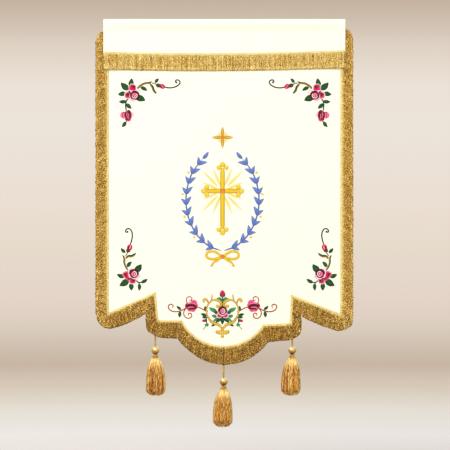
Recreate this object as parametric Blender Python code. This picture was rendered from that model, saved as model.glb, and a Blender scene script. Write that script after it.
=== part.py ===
"""Church banner: an ivory cloth with a rod sleeve, bullion fringe round its edges and three tassels.

Metres, +Z up. The origin is the middle of the top edge, where the banner hangs. The front faces -Y.
Fringe edges run from the left side down, along the hem and up the right side, as seen from the front.
"""

import math
from collections import namedtuple

import bmesh
import bpy
from mathutils import Vector

# Cloth
PANEL_THICK = 0.0020
PANEL_TOP = -0.0275
PANEL_ROWS = 9
PANEL_CELL = 0.050
PANEL_UPRIGHT_FROM = 0.75
SEWN_GAP = 0.0004

# The hung cloth is flat at the rod and softly uneven lower down
WAVE_DEEP = 0.0015
WAVE_LONG = 0.48
WAVE_SLANT = 0.35
WAVE_FROM = -0.18
WAVE_FULL = -0.90

# Rod sleeve: a strip folded over the rod and sewn down behind the header fringe
SLEEVE_WIDE = 0.800
SLEEVE_THICK = 0.0015
ROD_ROOM = 0.0240
SLEEVE_FLAT_FROM = -0.0450
SLEEVE_BACK_LOW = -0.1150
SLEEVE_CELLS = 6
SLEEVE_NARROWS = (0.0, 0.35, 0.7)
LOOP_STEP = 20
FLAP_LIFT_FROM = 0.315
FLAP_LIFT_TO = 0.379

# Header fringe: heights of its upper edge at the left end, the middle and the right end
HEADER_LEFT_Z = -0.1090
HEADER_MIDDLE_Z = -0.1136
HEADER_RIGHT_Z = -0.1040
HEADER_HALF = 0.3985
HEADER_REACH = 0.0600

# Fringe trim: a woven heading with twisted strands along its outer edge
HEADING_WIDE = 0.0085
HEADING_THICK = 0.0028
HEM_COVER = 0.0070
TRIM_END_GAP = 0.0003
LOCK_PITCH = 0.0170
LOCK_MARGIN = 0.09
LOCK_ROOT_INSET = 0.0003
LOCK_THICK = 0.0034
LOCK_TIP_THICK = 0.0026
LOCK_UNEVEN = 0.0016
LOCK_LEAN = 0.0006
LOCK_BEND = 0.75
LOCK_HALF_BEND = 0.35

# Lower edge of the banner's middle, an arc of a circle
BELLY_X = -0.0016
BELLY_Z = -0.9255
BELLY_RADIUS = 0.1566

# Tassels
CORD_THICK = 0.0060
CORD_SEWN = 0.0120
CORD_STEP = 0.0140
BALL_RADIUS = 0.01275
BALL_SIDES = 16
BALL_RINGS = 10
SKIRT_LOCKS = 12
SKIRT_MARGIN = 0.07
SKIRT_ROOT_FILL = 0.94
SKIRT_UNEVEN = 0.0012

# Faces that meet at less than these angles are shaded as one surface
CLOTH_SMOOTH = 35
ROUND_SMOOTH = 60

# A row's bend is how squarely its strands leave the heading before they drop: 0 where they hang straight
Row = namedtuple("Row", "place x z reach_x reach_z bend", defaults=(0.0,))
Bend = namedtuple("Bend", "place angle reach_x reach_z")
Tassel = namedtuple("Tassel", "side sewn_x edge_z ball_x ball_z")
Turn = namedtuple("Turn", "radius drop")
Lock = namedtuple("Lock", "inner outer inner_drop outer_drop")
Station = namedtuple("Station", "inner outer tip bend", defaults=(0.0,))
Finish = namedtuple("Finish", "colour roughness metallic sheen")

TASSELS = (
    Tassel("left", sewn_x=-0.2250, edge_z=-1.0046, ball_x=-0.2285, ball_z=-1.0972),
    Tassel("center", sewn_x=-0.0023, edge_z=-1.0890, ball_x=-0.0023, ball_z=-1.2008),
    Tassel("right", sewn_x=0.2225, edge_z=-1.0112, ball_x=0.2250, ball_z=-1.0968),
)

# Turned profile of a tassel's neck, below its ball
NECK = (
    Turn(radius=0.0045, drop=0.0000),
    Turn(radius=0.0070, drop=0.0020),
    Turn(radius=0.0068, drop=0.0062),
    Turn(radius=0.0082, drop=0.0088),
    Turn(radius=0.0090, drop=0.0110),
)

# Cross-sections of one skirt lock, from its root to its cut end
SKIRT = (
    Lock(inner=0.0022, outer=0.0210, inner_drop=0.0390, outer_drop=0.0390),
    Lock(inner=0.0024, outer=0.0294, inner_drop=0.0700, outer_drop=0.0700),
    Lock(inner=0.0028, outer=0.0332, inner_drop=0.1080, outer_drop=0.1080),
    Lock(inner=0.0034, outer=0.0312, inner_drop=0.1385, outer_drop=0.1310),
)

IVORY_CLOTH = Finish((0.94, 0.93, 0.84, 1.0), 0.55, 0.0, 0.3)
GOLD_FRINGE = Finish((0.60, 0.40, 0.11, 1.0), 0.45, 0.3, 0.2)
GOLD_CORD = Finish((0.62, 0.42, 0.12, 1.0), 0.50, 0.2, 0.2)
GOLD_BALL = Finish((0.80, 0.57, 0.20, 1.0), 0.30, 0.2, 0.4)
GOLD_SKIRT = Finish((0.76, 0.53, 0.18, 1.0), 0.42, 0.1, 0.4)


def belly_point(angle):
    """A place on the lower edge's arc, by its angle in degrees from straight down, positive to the right."""
    turn = math.radians(angle)
    return BELLY_X + BELLY_RADIUS * math.sin(turn), BELLY_Z - BELLY_RADIUS * math.cos(turn)


def belly_rows(bends):
    """The arc between the given bends as one row for each lock, their reach blended between the bends."""
    rows = []
    for first, last in zip(bends, bends[1:]):
        arc = math.radians(last.angle - first.angle) * BELLY_RADIUS
        cells = max(1, round(arc / LOCK_PITCH))
        for step in range(cells):
            part = step / cells
            x, z = belly_point(first.angle + part * (last.angle - first.angle))
            reach_x = first.reach_x + part * (last.reach_x - first.reach_x)
            reach_z = first.reach_z + part * (last.reach_z - first.reach_z)
            rows.append(Row(first.place, x, z, reach_x, reach_z))
    end = bends[-1]
    rows.append(Row(end.place, *belly_point(end.angle), end.reach_x, end.reach_z))
    return tuple(rows)


# Each trim's inner edge, and how far the strands' tips reach from it. Two trims meet at each shared place.
EDGES = {
    "side_fringe_left": (
        Row("top", -0.3830, -0.0340, -0.0415, -0.0400, LOCK_BEND),
        Row("low", -0.3830, -0.9300, -0.0415, -0.0400, LOCK_BEND),
        Row("point", -0.3815, -0.9725, -0.0110, -0.0405),
    ),
    "point_fringe_left": (
        Row("point", -0.3815, -0.9725, -0.0035, -0.0475),
        Row("tip", -0.3680, -0.9665, -0.0060, -0.0595),
        Row("slope", -0.3400, -0.9540, 0.0110, -0.0575),
        Row("slope end", -0.2850, -0.9298, 0.0040, -0.0585),
        Row("notch", -0.2268, -0.9039, -0.0377, -0.0736),
    ),
    "step_fringe_left": (
        Row("notch", -0.2268, -0.9039, -0.0300, -0.0601),
        Row("upright", -0.2229, -0.9500, -0.0367, -0.0420),
        Row("upright end", -0.2195, -0.9860, -0.0391, -0.0404, LOCK_BEND),
        Row("turn", -0.2180, -0.9958, -0.0200, -0.0480, LOCK_HALF_BEND),
        Row("level", -0.2100, -0.9977, -0.0040, -0.0575),
        Row("level end", -0.1950, -0.9979, 0.0000, -0.0583),
        Row("shoulder", -0.1401, -0.9986, -0.0135, -0.0585),
    ),
    "belly_fringe_left": belly_rows(
        (
            Bend("shoulder", -62.2, -0.0098, -0.0620),
            Bend("flank", -43.2, -0.0160, -0.0505),
            Bend("lower flank", -24.1, -0.0090, -0.0580),
            Bend("bottom", 0.2, -0.0020, -0.0630),
        )
    ),
    "belly_fringe_right": belly_rows(
        (
            Bend("bottom", 0.2, -0.0020, -0.0630),
            Bend("lower flank", 19.2, 0.0070, -0.0620),
            Bend("flank", 39.2, 0.0110, -0.0600),
            Bend("shoulder", 56.6, 0.0134, -0.0602),
        )
    ),
    "step_fringe_right": (
        Row("shoulder", 0.1291, -1.0118, 0.0172, -0.0560),
        Row("level", 0.1850, -1.0089, 0.0000, -0.0565),
        Row("level end", 0.2095, -1.0078, 0.0040, -0.0565),
        Row("turn", 0.2172, -1.0058, 0.0195, -0.0458, LOCK_HALF_BEND),
        Row("upright", 0.2184, -0.9900, 0.0359, -0.0400, LOCK_BEND),
        Row("upright end", 0.2196, -0.9560, 0.0347, -0.0430),
        Row("notch", 0.2208, -0.9122, 0.0306, -0.0598),
    ),
    "point_fringe_right": (
        Row("notch", 0.2208, -0.9122, 0.0383, -0.0733),
        Row("slope", 0.2803, -0.9357, -0.0040, -0.0600),
        Row("slope end", 0.3400, -0.9593, -0.0110, -0.0595),
        Row("tip", 0.3690, -0.9705, 0.0070, -0.0630),
        Row("point", 0.3830, -0.9760, 0.0030, -0.0500),
    ),
    "side_fringe_right": (
        Row("point", 0.3830, -0.9760, 0.0110, -0.0440),
        Row("low", 0.3843, -0.9467, 0.0407, -0.0400, LOCK_BEND),
        Row("top", 0.3843, -0.0265, 0.0407, -0.0400, LOCK_BEND),
    ),
}

CLOTH_FRONT = -PANEL_THICK / 2
TRIM_BACK = CLOTH_FRONT - SEWN_GAP
FLAP_LIFT = LOCK_THICK + 2 * LOCK_LEAN + SEWN_GAP


def smooth_step(value, start, end):
    part = min(1.0, max(0.0, (value - start) / (end - start)))
    return part * part * (3 - 2 * part)


def drape(x, z):
    """How far back the hung cloth stands at a place."""
    fade = smooth_step(-z, -WAVE_FROM, -WAVE_FULL)
    return WAVE_DEEP * fade * math.sin(2 * math.pi * (x / WAVE_LONG + WAVE_SLANT * z))


def uneven(number):
    """A repeatable small unevenness between -1 and 1."""
    return math.sin(2.4 * number) * math.cos(0.7 * number)


def header_line(x):
    """Height of the header fringe's upper edge, which sags between its ends."""
    across = x / HEADER_HALF
    tilt = (HEADER_RIGHT_Z - HEADER_LEFT_Z) / 2
    rise = (HEADER_RIGHT_Z + HEADER_LEFT_Z) / 2 - HEADER_MIDDLE_Z
    return HEADER_MIDDLE_Z + tilt * across + rise * across * across


def flap_back(x):
    """The sleeve flap's back face: close to the cloth in the middle, over the side fringe's heading at the ends."""
    return TRIM_BACK - FLAP_LIFT * smooth_step(abs(x), FLAP_LIFT_FROM, FLAP_LIFT_TO)


def material(name, finish):
    made = bpy.data.materials.new(name)
    made.use_nodes = True
    shader = made.node_tree.nodes["Principled BSDF"]
    shader.inputs["Base Color"].default_value = finish.colour
    shader.inputs["Roughness"].default_value = finish.roughness
    shader.inputs["Metallic"].default_value = finish.metallic
    shader.inputs["Sheen Weight"].default_value = finish.sheen
    return made


def add_mesh(name, bm, finish, parent, smooth_below=None):
    """Turns a bmesh into the named object, with its faces facing out."""
    bmesh.ops.recalc_face_normals(bm, faces=bm.faces)
    mesh = bpy.data.meshes.new(name)
    bm.to_mesh(mesh)
    bm.free()
    mesh.materials.append(material(f"{name} finish", finish))
    if smooth_below is not None:
        mesh.shade_smooth()
        mesh.set_sharp_from_angle(angle=math.radians(smooth_below))
    obj = bpy.data.objects.new(name, mesh)
    bpy.context.scene.collection.objects.link(obj)
    obj.parent = parent
    return obj


def sheet_bmesh(front, back):
    """One closed sheet between two grids of points of the same size."""
    bm = bmesh.new()
    grids = [[[bm.verts.new(point) for point in line] for line in grid] for grid in (front, back)]
    lines = len(front)
    points = len(front[0])
    for grid in grids:
        for i in range(lines - 1):
            for j in range(points - 1):
                bm.faces.new((grid[i][j], grid[i][j + 1], grid[i + 1][j + 1], grid[i + 1][j]))
    rim = [(i, 0) for i in range(lines)]
    rim += [(lines - 1, j) for j in range(1, points)]
    rim += [(i, points - 1) for i in range(lines - 2, -1, -1)]
    rim += [(0, j) for j in range(points - 2, 0, -1)]
    for (i, j), (k, m) in zip(rim, rim[1:] + rim[:1]):
        bm.faces.new((grids[0][i][j], grids[0][k][m], grids[1][k][m], grids[1][i][j]))
    return bm


def outward(start, end):
    """The direction out of the cloth, across a stretch of its edge."""
    run = (end - start).normalized()
    return Vector((run.y, -run.x))


def corner_steps(rows, before, after):
    """For each row, the step from the heading's inner edge to its outer edge, mitred at a corner."""
    places = [Vector((row.x, row.z)) for row in rows]
    line = [before or places[0] * 2 - places[1]] + places + [after or places[-1] * 2 - places[-2]]
    steps = []
    for previous, here, following in zip(line, line[1:], line[2:]):
        first = outward(previous, here)
        second = outward(here, following)
        steps.append((first + second) / (1 + first.dot(second)) * HEADING_WIDE)
    return steps


def trim_neighbours(name):
    """The places next to a trim's two ends on the trims it meets, or None at the banner's top."""
    names = list(EDGES)
    at = names.index(name)
    before = EDGES[names[at - 1]][-2] if at > 0 else None
    after = EDGES[names[at + 1]][1] if at + 1 < len(names) else None
    return [row and Vector((row.x, row.z)) for row in (before, after)]


def edge_stations(name):
    """Where a trim's heading is divided, one lock between each station and the next."""
    rows = EDGES[name]
    steps = corner_steps(rows, *trim_neighbours(name))
    stations = []
    for index, (first, last) in enumerate(zip(rows, rows[1:])):
        start = Vector((first.x, first.z))
        end = Vector((last.x, last.z))
        cells = max(1, round((end - start).length / LOCK_PITCH))
        across = outward(start, end) * HEADING_WIDE
        for cell in range(cells):
            part = cell / cells
            inner = start.lerp(end, part)
            reach = Vector((first.reach_x, first.reach_z)).lerp(Vector((last.reach_x, last.reach_z)), part)
            step = across if cell else steps[index]
            bend = first.bend + part * (last.bend - first.bend)
            stations.append(Station(inner, inner + step, inner + reach, bend))
    last = rows[-1]
    end = Vector((last.x, last.z))
    stations.append(Station(end, end + steps[-1], end + Vector((last.reach_x, last.reach_z)), last.bend))
    for at, onward in ((0, 1), (-1, -2)):
        pull = (stations[onward].inner - stations[at].inner).normalized() * TRIM_END_GAP
        stations[at] = stations[at]._replace(inner=stations[at].inner + pull, outer=stations[at].outer + pull)
    return stations


def header_places():
    """Where the header fringe is divided, from left to right."""
    cells = round(2 * HEADER_HALF / LOCK_PITCH)
    return [HEADER_HALF * (2 * cell / cells - 1) for cell in range(cells + 1)]


def header_stations():
    """The header fringe hangs straight down from its sagging heading."""
    stations = []
    for x in header_places():
        z = header_line(x)
        stations.append(Station(Vector((x, z)), Vector((x, z - HEADING_WIDE)), Vector((x, z - HEADER_REACH))))
    return stations


def lock_side(first, last, part):
    """One long edge of a lock: its root, the point it bends about, and its tip."""
    root = first.outer.lerp(last.outer, part)
    tip = first.tip.lerp(last.tip, part)
    leaves = (first.outer - first.inner).normalized().lerp((last.outer - last.inner).normalized(), part).normalized()
    squarely = first.bend + part * (last.bend - first.bend)
    straight = root.lerp(tip, 0.5)
    square = root + leaves * max(0.0, (tip - root).dot(leaves))
    return root, straight.lerp(square, squarely), tip


def bent(side, part):
    root, bend, tip = side
    return root * (1 - part) ** 2 + bend * (2 * part * (1 - part)) + tip * part**2


def add_lock(bm, corners, first, last, back, segments, number):
    """A four-sided lock fused to one outer face of the heading, whose corners are given front first."""
    sides = [lock_side(first, last, LOCK_MARGIN), lock_side(first, last, 1 - LOCK_MARGIN)]
    shorter = 1 + LOCK_UNEVEN * uneven(number) / (sides[0][2] - sides[0][0]).length
    previous = corners
    for segment in range(segments + 1):
        part = segment / segments * (shorter if segment else 1)
        (left, right) = [bent(side, part) for side in sides]
        if segment == 0:
            near = -LOCK_ROOT_INSET
            far = -HEADING_THICK + LOCK_ROOT_INSET
        else:
            near = -LOCK_LEAN * (1 + uneven(number + segment))
            far = near - (LOCK_TIP_THICK if segment == segments else LOCK_THICK)
        section = [
            bm.verts.new((left.x, back(left) + far, left.y)),
            bm.verts.new((right.x, back(right) + far, right.y)),
            bm.verts.new((right.x, back(right) + near, right.y)),
            bm.verts.new((left.x, back(left) + near, left.y)),
        ]
        for k in range(4):
            bm.faces.new((previous[k], previous[(k + 1) % 4], section[(k + 1) % 4], section[k]))
        previous = section
    bm.faces.new(previous)


def add_trim(name, stations, back, segments, parent):
    """One length of fringe. back gives the height of what it is sewn to, at a place seen from the front."""
    bm = bmesh.new()
    rings = []
    for station in stations:
        ring = []
        for place, thick in ((station.inner, HEADING_THICK), (station.outer, HEADING_THICK)):
            ring.append(bm.verts.new((place.x, back(place) - thick, place.y)))
        for place in (station.outer, station.inner):
            ring.append(bm.verts.new((place.x, back(place), place.y)))
        rings.append(ring)
    for number, (ring, following) in enumerate(zip(rings, rings[1:])):
        for k in (0, 2, 3):
            bm.faces.new((ring[k], ring[(k + 1) % 4], following[(k + 1) % 4], following[k]))
        corners = (ring[1], following[1], following[2], ring[2])
        add_lock(bm, corners, stations[number], stations[number + 1], back, segments, number)
    for ring in (rings[0], rings[-1]):
        bm.faces.new(ring)
    return add_mesh(name, bm, GOLD_FRINGE, parent)


def cloth_edge():
    """The cloth's own lower edge, from the left point to the right one, under the fringe's heading."""
    cover = HEM_COVER / HEADING_WIDE
    line = []
    for name, rows in EDGES.items():
        if name.startswith("side"):
            continue
        for row, step in zip(rows, corner_steps(rows, *trim_neighbours(name))):
            place = Vector((row.x, row.z)) + step * cover
            if not line or (place - line[-1]).length > SEWN_GAP:
                line.append(place)
    return line


def panel_columns():
    """The lower end of each column of the panel's grid, no further apart than one cell."""
    line = cloth_edge()
    columns = []
    for first, last in zip(line, line[1:]):
        cells = math.ceil((last - first).length / PANEL_CELL)
        columns += [first.lerp(last, cell / cells) for cell in range(cells)]
    return columns + [line[-1]]


def add_panel(parent):
    """The shaped cloth, as a grid whose columns end on its lower edge."""
    columns = panel_columns()
    left = EDGES["side_fringe_left"][0].x - HEM_COVER
    right = EDGES["side_fringe_right"][-1].x + HEM_COVER
    columns[0].x = left
    columns[-1].x = right
    grid = []
    for number, foot in enumerate(columns):
        head_x = left + (right - left) * number / (len(columns) - 1)
        line = []
        for row in range(PANEL_ROWS + 1):
            part = row / PANEL_ROWS
            x = head_x + (foot.x - head_x) * smooth_step(part, 0, PANEL_UPRIGHT_FROM)
            z = PANEL_TOP + (foot.y - PANEL_TOP) * part
            line.append((x, drape(x, z), z))
        grid.append(line)
    front = [[(x, y - PANEL_THICK / 2, z) for x, y, z in line] for line in grid]
    back = [[(x, y + PANEL_THICK / 2, z) for x, y, z in line] for line in grid]
    return add_mesh("ground_panel", sheet_bmesh(front, back), IVORY_CLOTH, parent, CLOTH_SMOOTH)


def sleeve_profile(x):
    """The sleeve's middle line at one place along the rod, as (y, z) from the flap's hem over to the back's."""
    radius = (ROD_ROOM + SLEEVE_THICK) / 2
    middle_z = -SLEEVE_THICK - ROD_ROOM / 2
    flap_y = flap_back(x) - SLEEVE_THICK / 2
    rear_y = PANEL_THICK / 2 + SEWN_GAP + SLEEVE_THICK / 2
    flap_low = header_line(x) - HEADING_WIDE
    line = [(flap_y, flap_low), (flap_y, (flap_low + SLEEVE_FLAT_FROM) / 2)]
    for part in SLEEVE_NARROWS:
        ease = smooth_step(part, 0, 1)
        z = SLEEVE_FLAT_FROM + (middle_z - SLEEVE_FLAT_FROM) * part
        line.append((flap_y + (-radius - flap_y) * ease, z))
    for degrees in range(180, -1, -LOOP_STEP):
        turn = math.radians(degrees)
        line.append((radius * math.cos(turn), middle_z + radius * math.sin(turn)))
    for part in reversed(SLEEVE_NARROWS):
        ease = smooth_step(part, 0, 1)
        z = SLEEVE_FLAT_FROM + (middle_z - SLEEVE_FLAT_FROM) * part
        line.append((rear_y + (radius - rear_y) * ease, z))
    return line + [(rear_y, (SLEEVE_BACK_LOW + SLEEVE_FLAT_FROM) / 2), (rear_y, SLEEVE_BACK_LOW)]


def sleeve_places():
    """Where the sleeve's grid is divided: as the header fringe is where the flap lifts, and coarser between."""
    places = header_places()
    kept = [x for k, x in enumerate(places) if k % SLEEVE_CELLS == 0 or abs(x) > FLAP_LIFT_FROM - LOCK_PITCH]
    return [-SLEEVE_WIDE / 2] + kept + [SLEEVE_WIDE / 2]


def add_sleeve(parent):
    """The folded strip that the rod goes through, open at both ends."""
    stations = sleeve_places()
    outer = []
    inner = []
    for x in stations:
        line = [Vector(point) for point in sleeve_profile(x)]
        ends = [line[0] * 2 - line[1]] + line + [line[-1] * 2 - line[-2]]
        sides = []
        for previous, following in zip(ends, ends[2:]):
            run = (following - previous).normalized()
            sides.append(Vector((-run.y, run.x)) * SLEEVE_THICK / 2)
        outer.append([(x, p.x + s.x, p.y + s.y) for p, s in zip(line, sides)])
        inner.append([(x, p.x - s.x, p.y - s.y) for p, s in zip(line, sides)])
    return add_mesh("rod_sleeve", sheet_bmesh(outer, inner), IVORY_CLOTH, parent, CLOTH_SMOOTH)


def add_cord(tassel, hang_y, parent):
    """The cord from the back of the hem to the top of the tassel's ball."""
    top = Vector((tassel.sewn_x, hang_y, tassel.edge_z + CORD_SEWN))
    end = Vector((tassel.ball_x, hang_y, tassel.ball_z + BALL_RADIUS + SEWN_GAP))
    steps = math.ceil((top.z - end.z) / CORD_STEP)
    curve = bpy.data.curves.new(f"tassel_cord_{tassel.side}", "CURVE")
    curve.dimensions = "3D"
    curve.bevel_depth = CORD_THICK / 2
    curve.bevel_resolution = 2
    curve.use_fill_caps = True
    spline = curve.splines.new("POLY")
    spline.points.add(steps)
    for step, point in enumerate(spline.points):
        part = step / steps
        sideways = smooth_step(part, 0, 0.6)
        x = top.x + (end.x - top.x) * sideways
        point.co = (x, hang_y, top.z + (end.z - top.z) * part, 1.0)
    curve.materials.append(material(f"{curve.name} finish", GOLD_CORD))
    obj = bpy.data.objects.new(curve.name, curve)
    bpy.context.scene.collection.objects.link(obj)
    obj.parent = parent


def add_ball(tassel, hang_y, parent):
    bm = bmesh.new()
    bmesh.ops.create_uvsphere(bm, u_segments=BALL_SIDES, v_segments=BALL_RINGS, radius=BALL_RADIUS)
    obj = add_mesh(f"tassel_ball_{tassel.side}", bm, GOLD_BALL, parent, ROUND_SMOOTH)
    obj.location = (tassel.ball_x, hang_y, tassel.ball_z)


def around(radius, turn, drop):
    return (radius * math.cos(turn), radius * math.sin(turn), -drop)


def add_skirt(tassel, hang_y, parent):
    """A tassel's neck and, fused to its underside, the locks of its skirt."""
    bm = bmesh.new()
    turns = [2 * math.pi * side / SKIRT_LOCKS for side in range(SKIRT_LOCKS)]
    rings = [[bm.verts.new(around(level.radius, turn, level.drop)) for turn in turns] for level in NECK]
    bm.faces.new(rings[0])
    for upper, lower in zip(rings, rings[1:]):
        for k in range(SKIRT_LOCKS):
            after = (k + 1) % SKIRT_LOCKS
            bm.faces.new((upper[k], upper[after], lower[after], lower[k]))
    root_drop = NECK[-1].drop
    hub = [bm.verts.new(around(SKIRT[0].inner / 2, turn, root_drop)) for turn in turns]
    bm.faces.new(hub)
    pitch = 2 * math.pi / SKIRT_LOCKS
    root = Lock(SKIRT[0].inner, NECK[-1].radius * SKIRT_ROOT_FILL, root_drop, root_drop)
    for k in range(SKIRT_LOCKS):
        after = (k + 1) % SKIRT_LOCKS
        previous = (rings[-1][k], rings[-1][after], hub[after], hub[k])
        left = turns[k] + SKIRT_MARGIN * pitch
        right = turns[k] + (1 - SKIRT_MARGIN) * pitch
        for number, cut in enumerate((root,) + SKIRT):
            longer = SKIRT_UNEVEN * uneven(k) if number == len(SKIRT) else 0.0
            section = [
                bm.verts.new(around(cut.outer, left, cut.outer_drop + longer)),
                bm.verts.new(around(cut.outer, right, cut.outer_drop + longer)),
                bm.verts.new(around(cut.inner, right, cut.inner_drop)),
                bm.verts.new(around(cut.inner, left, cut.inner_drop)),
            ]
            for j in range(4):
                bm.faces.new((previous[j], previous[(j + 1) % 4], section[(j + 1) % 4], section[j]))
            previous = section
        bm.faces.new(previous)
    obj = add_mesh(f"tassel_skirt_{tassel.side}", bm, GOLD_SKIRT, parent, CLOTH_SMOOTH)
    obj.location = (tassel.ball_x, hang_y, tassel.ball_z - BALL_RADIUS - SEWN_GAP)


def main():
    for obj in list(bpy.data.objects):
        bpy.data.objects.remove(obj, do_unlink=True)
    banner = bpy.data.objects.new("banner", None)
    bpy.context.scene.collection.objects.link(banner)
    add_sleeve(banner)
    add_panel(banner)
    header = header_stations()
    add_trim("header_fringe", header, lambda place: flap_back(place.x) - SLEEVE_THICK - SEWN_GAP, 2, banner)
    for name in EDGES:
        segments = 3 if name.startswith("side") else 2
        add_trim(name, edge_stations(name), lambda place: TRIM_BACK + drape(place.x, place.y), segments, banner)
    for tassel in TASSELS:
        hang_y = PANEL_THICK / 2 + SEWN_GAP + CORD_THICK / 2 + drape(tassel.sewn_x, tassel.edge_z)
        add_cord(tassel, hang_y, banner)
        add_ball(tassel, hang_y, banner)
        add_skirt(tassel, hang_y, banner)


main()
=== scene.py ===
"""Looks of the church banner: satin cloth, bullion fringe, rope cords, tassels and raised embroidery.

Metres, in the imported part's frame: +Z up, the front faces -Y, the origin is the middle of the top edge.
Motifs on the cloth are laid out in pixels of a 450 by 450 front view and turned into metres by at().
"""

import math
from collections import namedtuple

import bpy
import numpy as np
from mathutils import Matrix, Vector


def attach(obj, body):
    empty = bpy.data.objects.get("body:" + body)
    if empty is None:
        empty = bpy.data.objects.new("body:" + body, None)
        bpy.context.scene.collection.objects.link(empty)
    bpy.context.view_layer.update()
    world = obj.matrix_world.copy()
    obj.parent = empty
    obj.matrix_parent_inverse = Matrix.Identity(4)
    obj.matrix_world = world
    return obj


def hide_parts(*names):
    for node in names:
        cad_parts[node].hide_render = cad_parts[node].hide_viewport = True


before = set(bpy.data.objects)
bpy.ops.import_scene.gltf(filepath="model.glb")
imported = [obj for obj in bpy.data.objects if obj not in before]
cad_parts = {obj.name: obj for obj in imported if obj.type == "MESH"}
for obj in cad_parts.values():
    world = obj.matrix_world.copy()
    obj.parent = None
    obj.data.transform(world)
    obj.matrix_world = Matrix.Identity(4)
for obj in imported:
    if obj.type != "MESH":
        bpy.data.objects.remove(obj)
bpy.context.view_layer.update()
random = np.random.default_rng(7)

# Front view: metres in a pixel, the pixel column and row of the origin, and the pixels across
PIXEL = 0.003311
MIDDLE_COLUMN = 224.3
TOP_ROW = 19.0
VIEW_WIDE = 450

# Sizes shared with the solids
PANEL_THICK = 0.0020
PANEL_TOP = -0.0275
SEWN_GAP = 0.0004
WAVE_DEEP = 0.0015
WAVE_LONG = 0.48
WAVE_SLANT = 0.35
WAVE_FROM = -0.18
WAVE_FULL = -0.90
SLEEVE_WIDE = 0.800
SLEEVE_THICK = 0.0015
ROD_ROOM = 0.0240
SLEEVE_FLAT_FROM = -0.0450
SLEEVE_BACK_LOW = -0.1150
FLAP_LIFT = 0.0050
FLAP_LIFT_FROM = 0.315
FLAP_LIFT_TO = 0.379
HEADER_LEFT_Z = -0.1090
HEADER_MIDDLE_Z = -0.1136
HEADER_RIGHT_Z = -0.1040
HEADER_HALF = 0.3985
HEADER_REACH = 0.0600
HEADING_WIDE = 0.0085
HEADING_THICK = 0.0028
HEM_COVER = 0.0070
TRIM_END_GAP = 0.0003
LOCK_BEND = 0.75
LOCK_HALF_BEND = 0.35
BELLY_X = -0.0016
BELLY_Z = -0.9255
BELLY_RADIUS = 0.1566
CORD_THICK = 0.0060
CORD_SEWN = 0.0120
CORD_IN_SKIRT = 0.0500
BALL_RADIUS = 0.01275

Row = namedtuple("Row", "place x z reach_x reach_z bend", defaults=(0.0,))
Bend = namedtuple("Bend", "place angle reach_x reach_z")
Tassel = namedtuple("Tassel", "side sewn_x edge_z ball_x ball_z")

TASSELS = (
    Tassel("left", sewn_x=-0.2250, edge_z=-1.0046, ball_x=-0.2285, ball_z=-1.0972),
    Tassel("center", sewn_x=-0.0023, edge_z=-1.0890, ball_x=-0.0023, ball_z=-1.2008),
    Tassel("right", sewn_x=0.2225, edge_z=-1.0112, ball_x=0.2250, ball_z=-1.0968),
)


def belly_point(angle):
    """A place on the lower edge's arc, by its angle in degrees from straight down."""
    turn = math.radians(angle)
    return BELLY_X + BELLY_RADIUS * math.sin(turn), BELLY_Z - BELLY_RADIUS * math.cos(turn)


def belly_rows(bends, cells=6):
    rows = []
    for first, last in zip(bends, bends[1:]):
        for part in np.arange(cells) / cells:
            x, z = belly_point(first.angle + part * (last.angle - first.angle))
            reach_x = first.reach_x + part * (last.reach_x - first.reach_x)
            reach_z = first.reach_z + part * (last.reach_z - first.reach_z)
            rows.append(Row(first.place, x, z, reach_x, reach_z))
    end = bends[-1]
    rows.append(Row(end.place, *belly_point(end.angle), end.reach_x, end.reach_z))
    return tuple(rows)


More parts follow.
